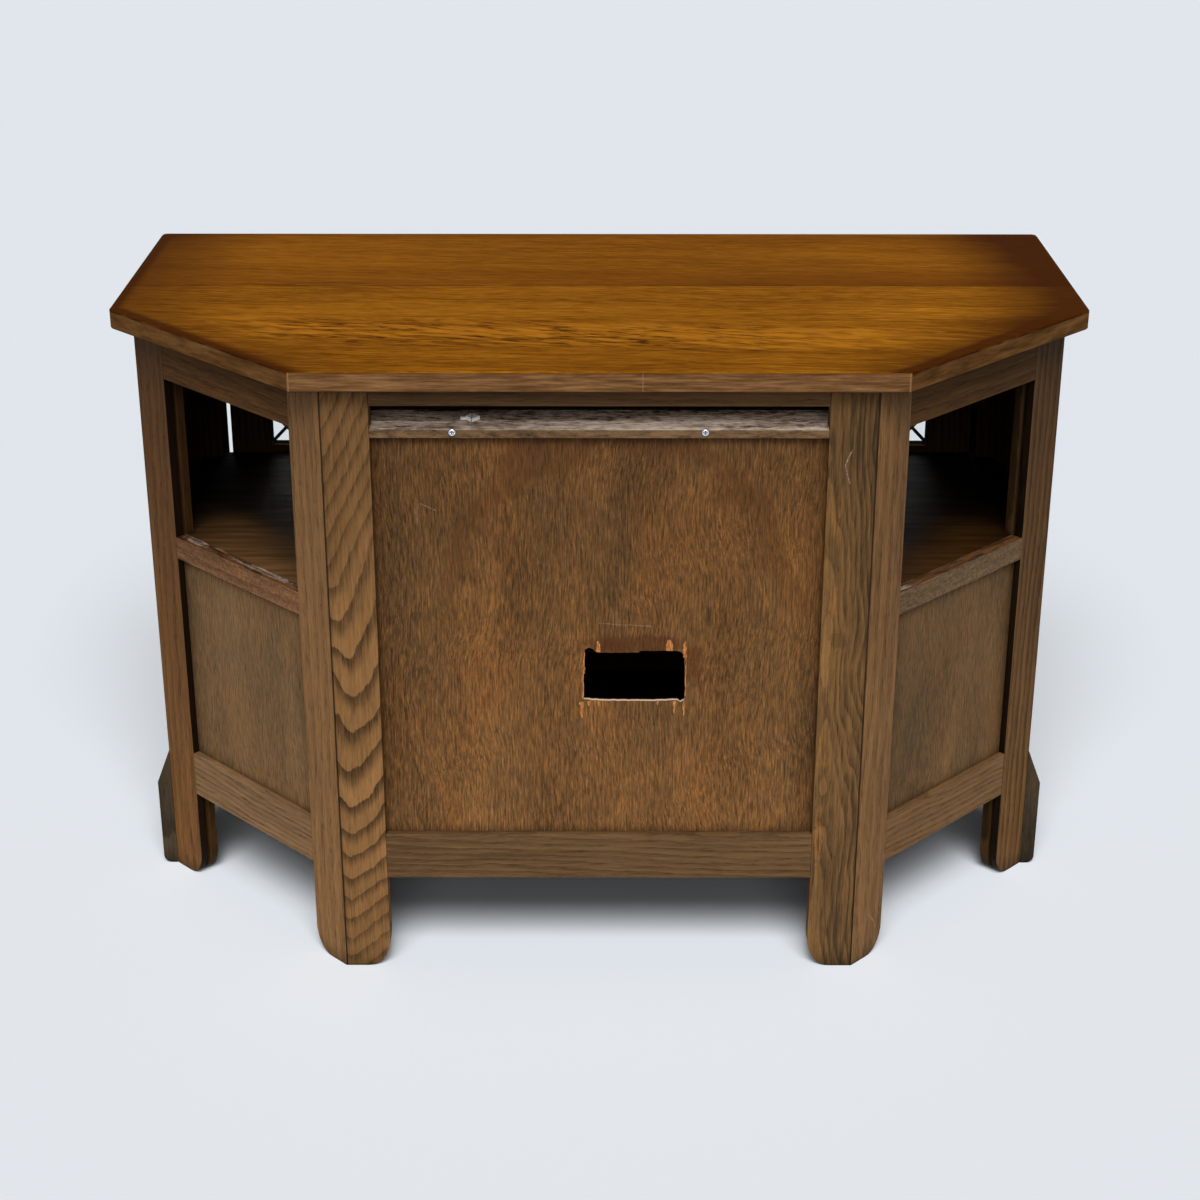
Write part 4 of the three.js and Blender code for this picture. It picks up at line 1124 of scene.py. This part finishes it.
def make_screws(zinc):
    for side in SIDES:
        node = f"rear_screw_{side}"
        low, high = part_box(node)
        centre = (low + high) / 2
        centre.y = high.y - SCREW_HEAD * MM
        bm = bmesh.new()
        profile = [(r * MM, y * MM) for r, y in screw_profile()]
        lathe(bm, Vector(), profile, SCREW_SIDES, screw_recess)
        turn = Matrix.Translation(centre) @ Matrix.Rotation(math.pi, 4, "Z")
        bmesh.ops.transform(bm, matrix=turn, verts=bm.verts)
        add_piece(f"{side}_screw", mesh_from(bm, node), "cabinet", zinc, [node])


# Leaded lights: a pane with rounded lead strips on both faces, crossing in diamonds
LIGHT_REBATE = 7 * MM
LATTICE_COLUMNS = 9
LATTICE_ROWS = 3
CAME_SIDES = 10
CAME_HALF = 2.2 * MM
CAME_RISE = 2.4 * MM
BORDER_HALF = 3.2 * MM
BORDER_RISE = 2.5 * MM
SOLDER = 2.6 * MM


def came(bm, start, end, half, rise):
    flat = (end - start).normalized().cross(BACK)
    turns = [2 * math.pi * k / CAME_SIDES for k in range(CAME_SIDES)]
    ring = [flat * half * math.cos(a) + BACK * rise * math.sin(a) for a in turns]
    loft(bm, [[place + step for step in ring] for place in (start, end)])


def lattice_lines(x0, x1, z0, z1):
    step_x = (x1 - x0) / LATTICE_COLUMNS
    slope = (z1 - z0) / LATTICE_ROWS / step_x
    for line in range(1 - LATTICE_ROWS, LATTICE_COLUMNS):
        for lean in (1, -1):
            start = x0 + line * step_x if lean > 0 else x1 - line * step_x
            ends = sorted((start, start + lean * (z1 - z0) / slope))
            left, right = max(ends[0], x0), min(ends[1], x1)
            if right - left > MM:
                yield [Vector((x, 0, z0 + (x - start) * lean * slope)) for x in (left, right)]


def solder_dot(bm, centre):
    for y in (-1, 1):
        place = Matrix.Translation(centre + Vector((0, y * CAME_RISE * 0.8, 0)))
        shape = Matrix.Diagonal((SOLDER, 0.9 * MM, SOLDER, 1))
        bmesh.ops.create_uvsphere(bm, u_segments=10, v_segments=6, radius=1, matrix=place @ shape)


def make_pane(side, glass):
    node = f"door_{side}_leaded_light"
    low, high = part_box(node)
    bm = bmesh.new()
    size = Vector((high.x - low.x - MM, 3 * MM, high.z - low.z - MM))
    place = Matrix.Translation((low + high) / 2) @ Matrix.Diagonal((*size, 1))
    bmesh.ops.create_cube(bm, size=1, matrix=place)
    add_piece(f"{side}_glass", mesh_from(bm, node, False), f"{side}_door", glass, [node])


def make_lead(side, lead):
    node = f"door_{side}_leaded_light"
    low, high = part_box(node)
    middle = Vector((0, (low.y + high.y) / 2, 0))
    x0, x1 = low.x + LIGHT_REBATE, high.x - LIGHT_REBATE
    z0, z1 = low.z + LIGHT_REBATE, high.z - LIGHT_REBATE
    bm = bmesh.new()
    for start, end in lattice_lines(x0, x1, z0, z1):
        came(bm, start + middle, end + middle, CAME_HALF, CAME_RISE)
    for column in range(LATTICE_COLUMNS * 2 + 1):
        for row in range(column % 2, LATTICE_ROWS * 2 + 1, 2):
            x = x0 + (x1 - x0) * column / (LATTICE_COLUMNS * 2)
            z = z0 + (z1 - z0) * row / (LATTICE_ROWS * 2)
            solder_dot(bm, Vector((x, middle.y, z)))
    corners = [Vector((x, middle.y, z)) for x, z in ((x0, z0), (x1, z0), (x1, z1), (x0, z1))]
    for start, end in zip(corners, corners[1:] + corners[:1]):
        reach = (end - start).normalized() * 2 * MM
        came(bm, start - reach, end + reach, BORDER_HALF, BORDER_RISE)
    add_piece(f"{side}_lead", mesh_from(bm, node), f"{side}_door", lead, [node])


# A small white cable clip left on the rail: two wedges with a slit between them, and a tail
CLIP_PLACE = Vector((0.1355, 0.228, 0.659))
CLIP_HEIGHT = 4.2 * MM


def prism(bm, outline, share):
    loft(bm, [[(x * MM, y * MM, z) for x, y in outline] for z in (0, CLIP_HEIGHT * share)])


def make_clip():
    bm = bmesh.new()
    prism(bm, [(-9, 1), (-8, -1), (-0.5, -10), (-0.5, 10)], 1)
    prism(bm, [(7, 0), (0.5, 10), (0.5, -10)], 1)
    prism(bm, [(-1, -3), (1, -3), (1, 3), (-1, 3)], 0.5)
    prism(bm, [(5.5, -2), (11.5, -2.6), (12.5, 0), (11.5, 2.6), (5.5, 2)], 0.7)
    bmesh.ops.transform(bm, matrix=Matrix.Translation(CLIP_PLACE), verts=bm.verts)
    white = plain_material("white_plastic", (255, 253, 247), 0.5, hollow_shade=0.3)
    clip = add_piece("cable_clip", mesh_from(bm, "cable_clip", False), "cabinet", white)
    ease(clip, 0.5 * MM, 30)


def dress_metal():
    brass = plain_material("brass", (170, 132, 74), 0.35, 1)
    steel = plain_material("steel", (150, 150, 150), 0.35, 1)
    zinc = plain_material("zinc", (214, 218, 224), 0.28, 1, hollow_shade=1, reach=2.5 * MM)
    lead = plain_material("lead", (62, 64, 66), 0.5, 0.6)
    glass = glass_material()
    for name in nodes:
        if name.endswith("_pin"):
            dress(name, steel, bevel=0.3 * MM)
    dress("door_catch", plain_material("plastic", (60, 44, 32), 0.45), bevel=0.6 * MM)
    make_knobs(brass)
    make_screws(zinc)
    for side in SIDES:
        make_pane(side, glass)
        make_lead(side, lead)


# Studio: light from behind the camera, with weaker light from the front and the sides that the
# floor doesn't take, so that it stays even. Azimuth from +X, elevation and spread in degrees.
BACKGROUND = (225, 230, 236)
SKY = 0.05
SUNS = {
    "key_a": (79, 50.5, 26, 0.46, True),
    "key_b": (101, 50.5, 26, 0.46, True),
    "low_a": (90, 18, 36, 0.16, True),
    "low_b": (90, 32, 36, 0.32, False),
    "front": (-90, 10, 60, 0.45, False),
    "side_a": (0, 10, 60, 0.2, False),
    "side_b": (180, 10, 60, 0.2, False),
}
FLOOR_BOUNCE = 0.5
FLOOR_SIZE = 60


def make_sun(name, azimuth, elevation, spread, share):
    data = bpy.data.lights.new(name, "SUN")
    data.energy = share * math.pi
    data.angle = math.radians(spread)
    lamp = new_object(name, data)
    turn = Matrix.Rotation(math.radians(azimuth), 3, "Z")
    turn = turn @ Matrix.Rotation(-math.radians(elevation), 3, "Y")
    lamp.rotation_mode = "QUATERNION"
    lamp.rotation_quaternion = (turn @ RIGHT).to_track_quat("Z", "Y")
    return lamp


def make_floor(light):
    mesh = bpy.data.meshes.new("floor")
    half = FLOOR_SIZE / 2
    corners = [(-half, -half, 0), (half, -half, 0), (half, half, 0), (-half, half, 0)]
    mesh.from_pydata(corners, [], [(0, 1, 2, 3)])
    floor = new_object("floor", mesh)
    floor.location.z = -0.2 * MM
    t = new_material("floor")
    shares = [c / light for c in linear(BACKGROUND)[:3]]
    dim = [c * FLOOR_BOUNCE for c in shares]
    colour = t.mix(t.seen(), (*dim, 1), (*shares, 1))
    mesh.materials.append(t.surface("BsdfDiffuse", {"Color": colour}))
    return floor


def make_world():
    world = bpy.data.worlds.new("world")
    scene.world = world
    world.use_nodes = True
    world.node_tree.nodes.clear()
    t = Tree(world.node_tree)
    plain = t.get("Background", 0, {"Color": (1, 1, 1, 1), "Strength": SKY})
    pale = t.get("Background", 0, {"Color": BACKGROUND, "Strength": 1})
    t.node("OutputWorld", {"Surface": t.get("MixShader", 0, {0: t.seen(), 1: plain, 2: pale})})


def make_studio():
    scene.view_settings.view_transform = "Standard"
    make_world()
    light = SKY
    spared = []
    for name, (azimuth, elevation, spread, share, on_floor) in SUNS.items():
        lamp = make_sun(name, azimuth, elevation, spread, share)
        if on_floor:
            light += share * math.sin(math.radians(elevation))
        else:
            spared.append(lamp)
    floor = make_floor(light)
    group = bpy.data.collections.new("spared_floor")
    group.objects.link(floor)
    group.collection_objects[0].light_linking.link_state = "EXCLUDE"
    for lamp in spared:
        lamp.light_linking.receiver_collection = group
        lamp.visible_glossy = False


make_camera()
make_studio()
dress_frames()
dress_panels()
dress("top_board", top_material(), bevel=0)
dress("rear_slot_rail", ledge_material(), bevel=0.6 * MM)
for board_name in ("shelf", "cabinet_floor"):
    dress(board_name, shelf_material(board_name), bevel=0.5 * MM)
dress_metal()
for wall in SIDES:
    chipped_rail(f"cant_{wall}_mid_rail")
make_rear_panel()
make_tears()
make_clip()
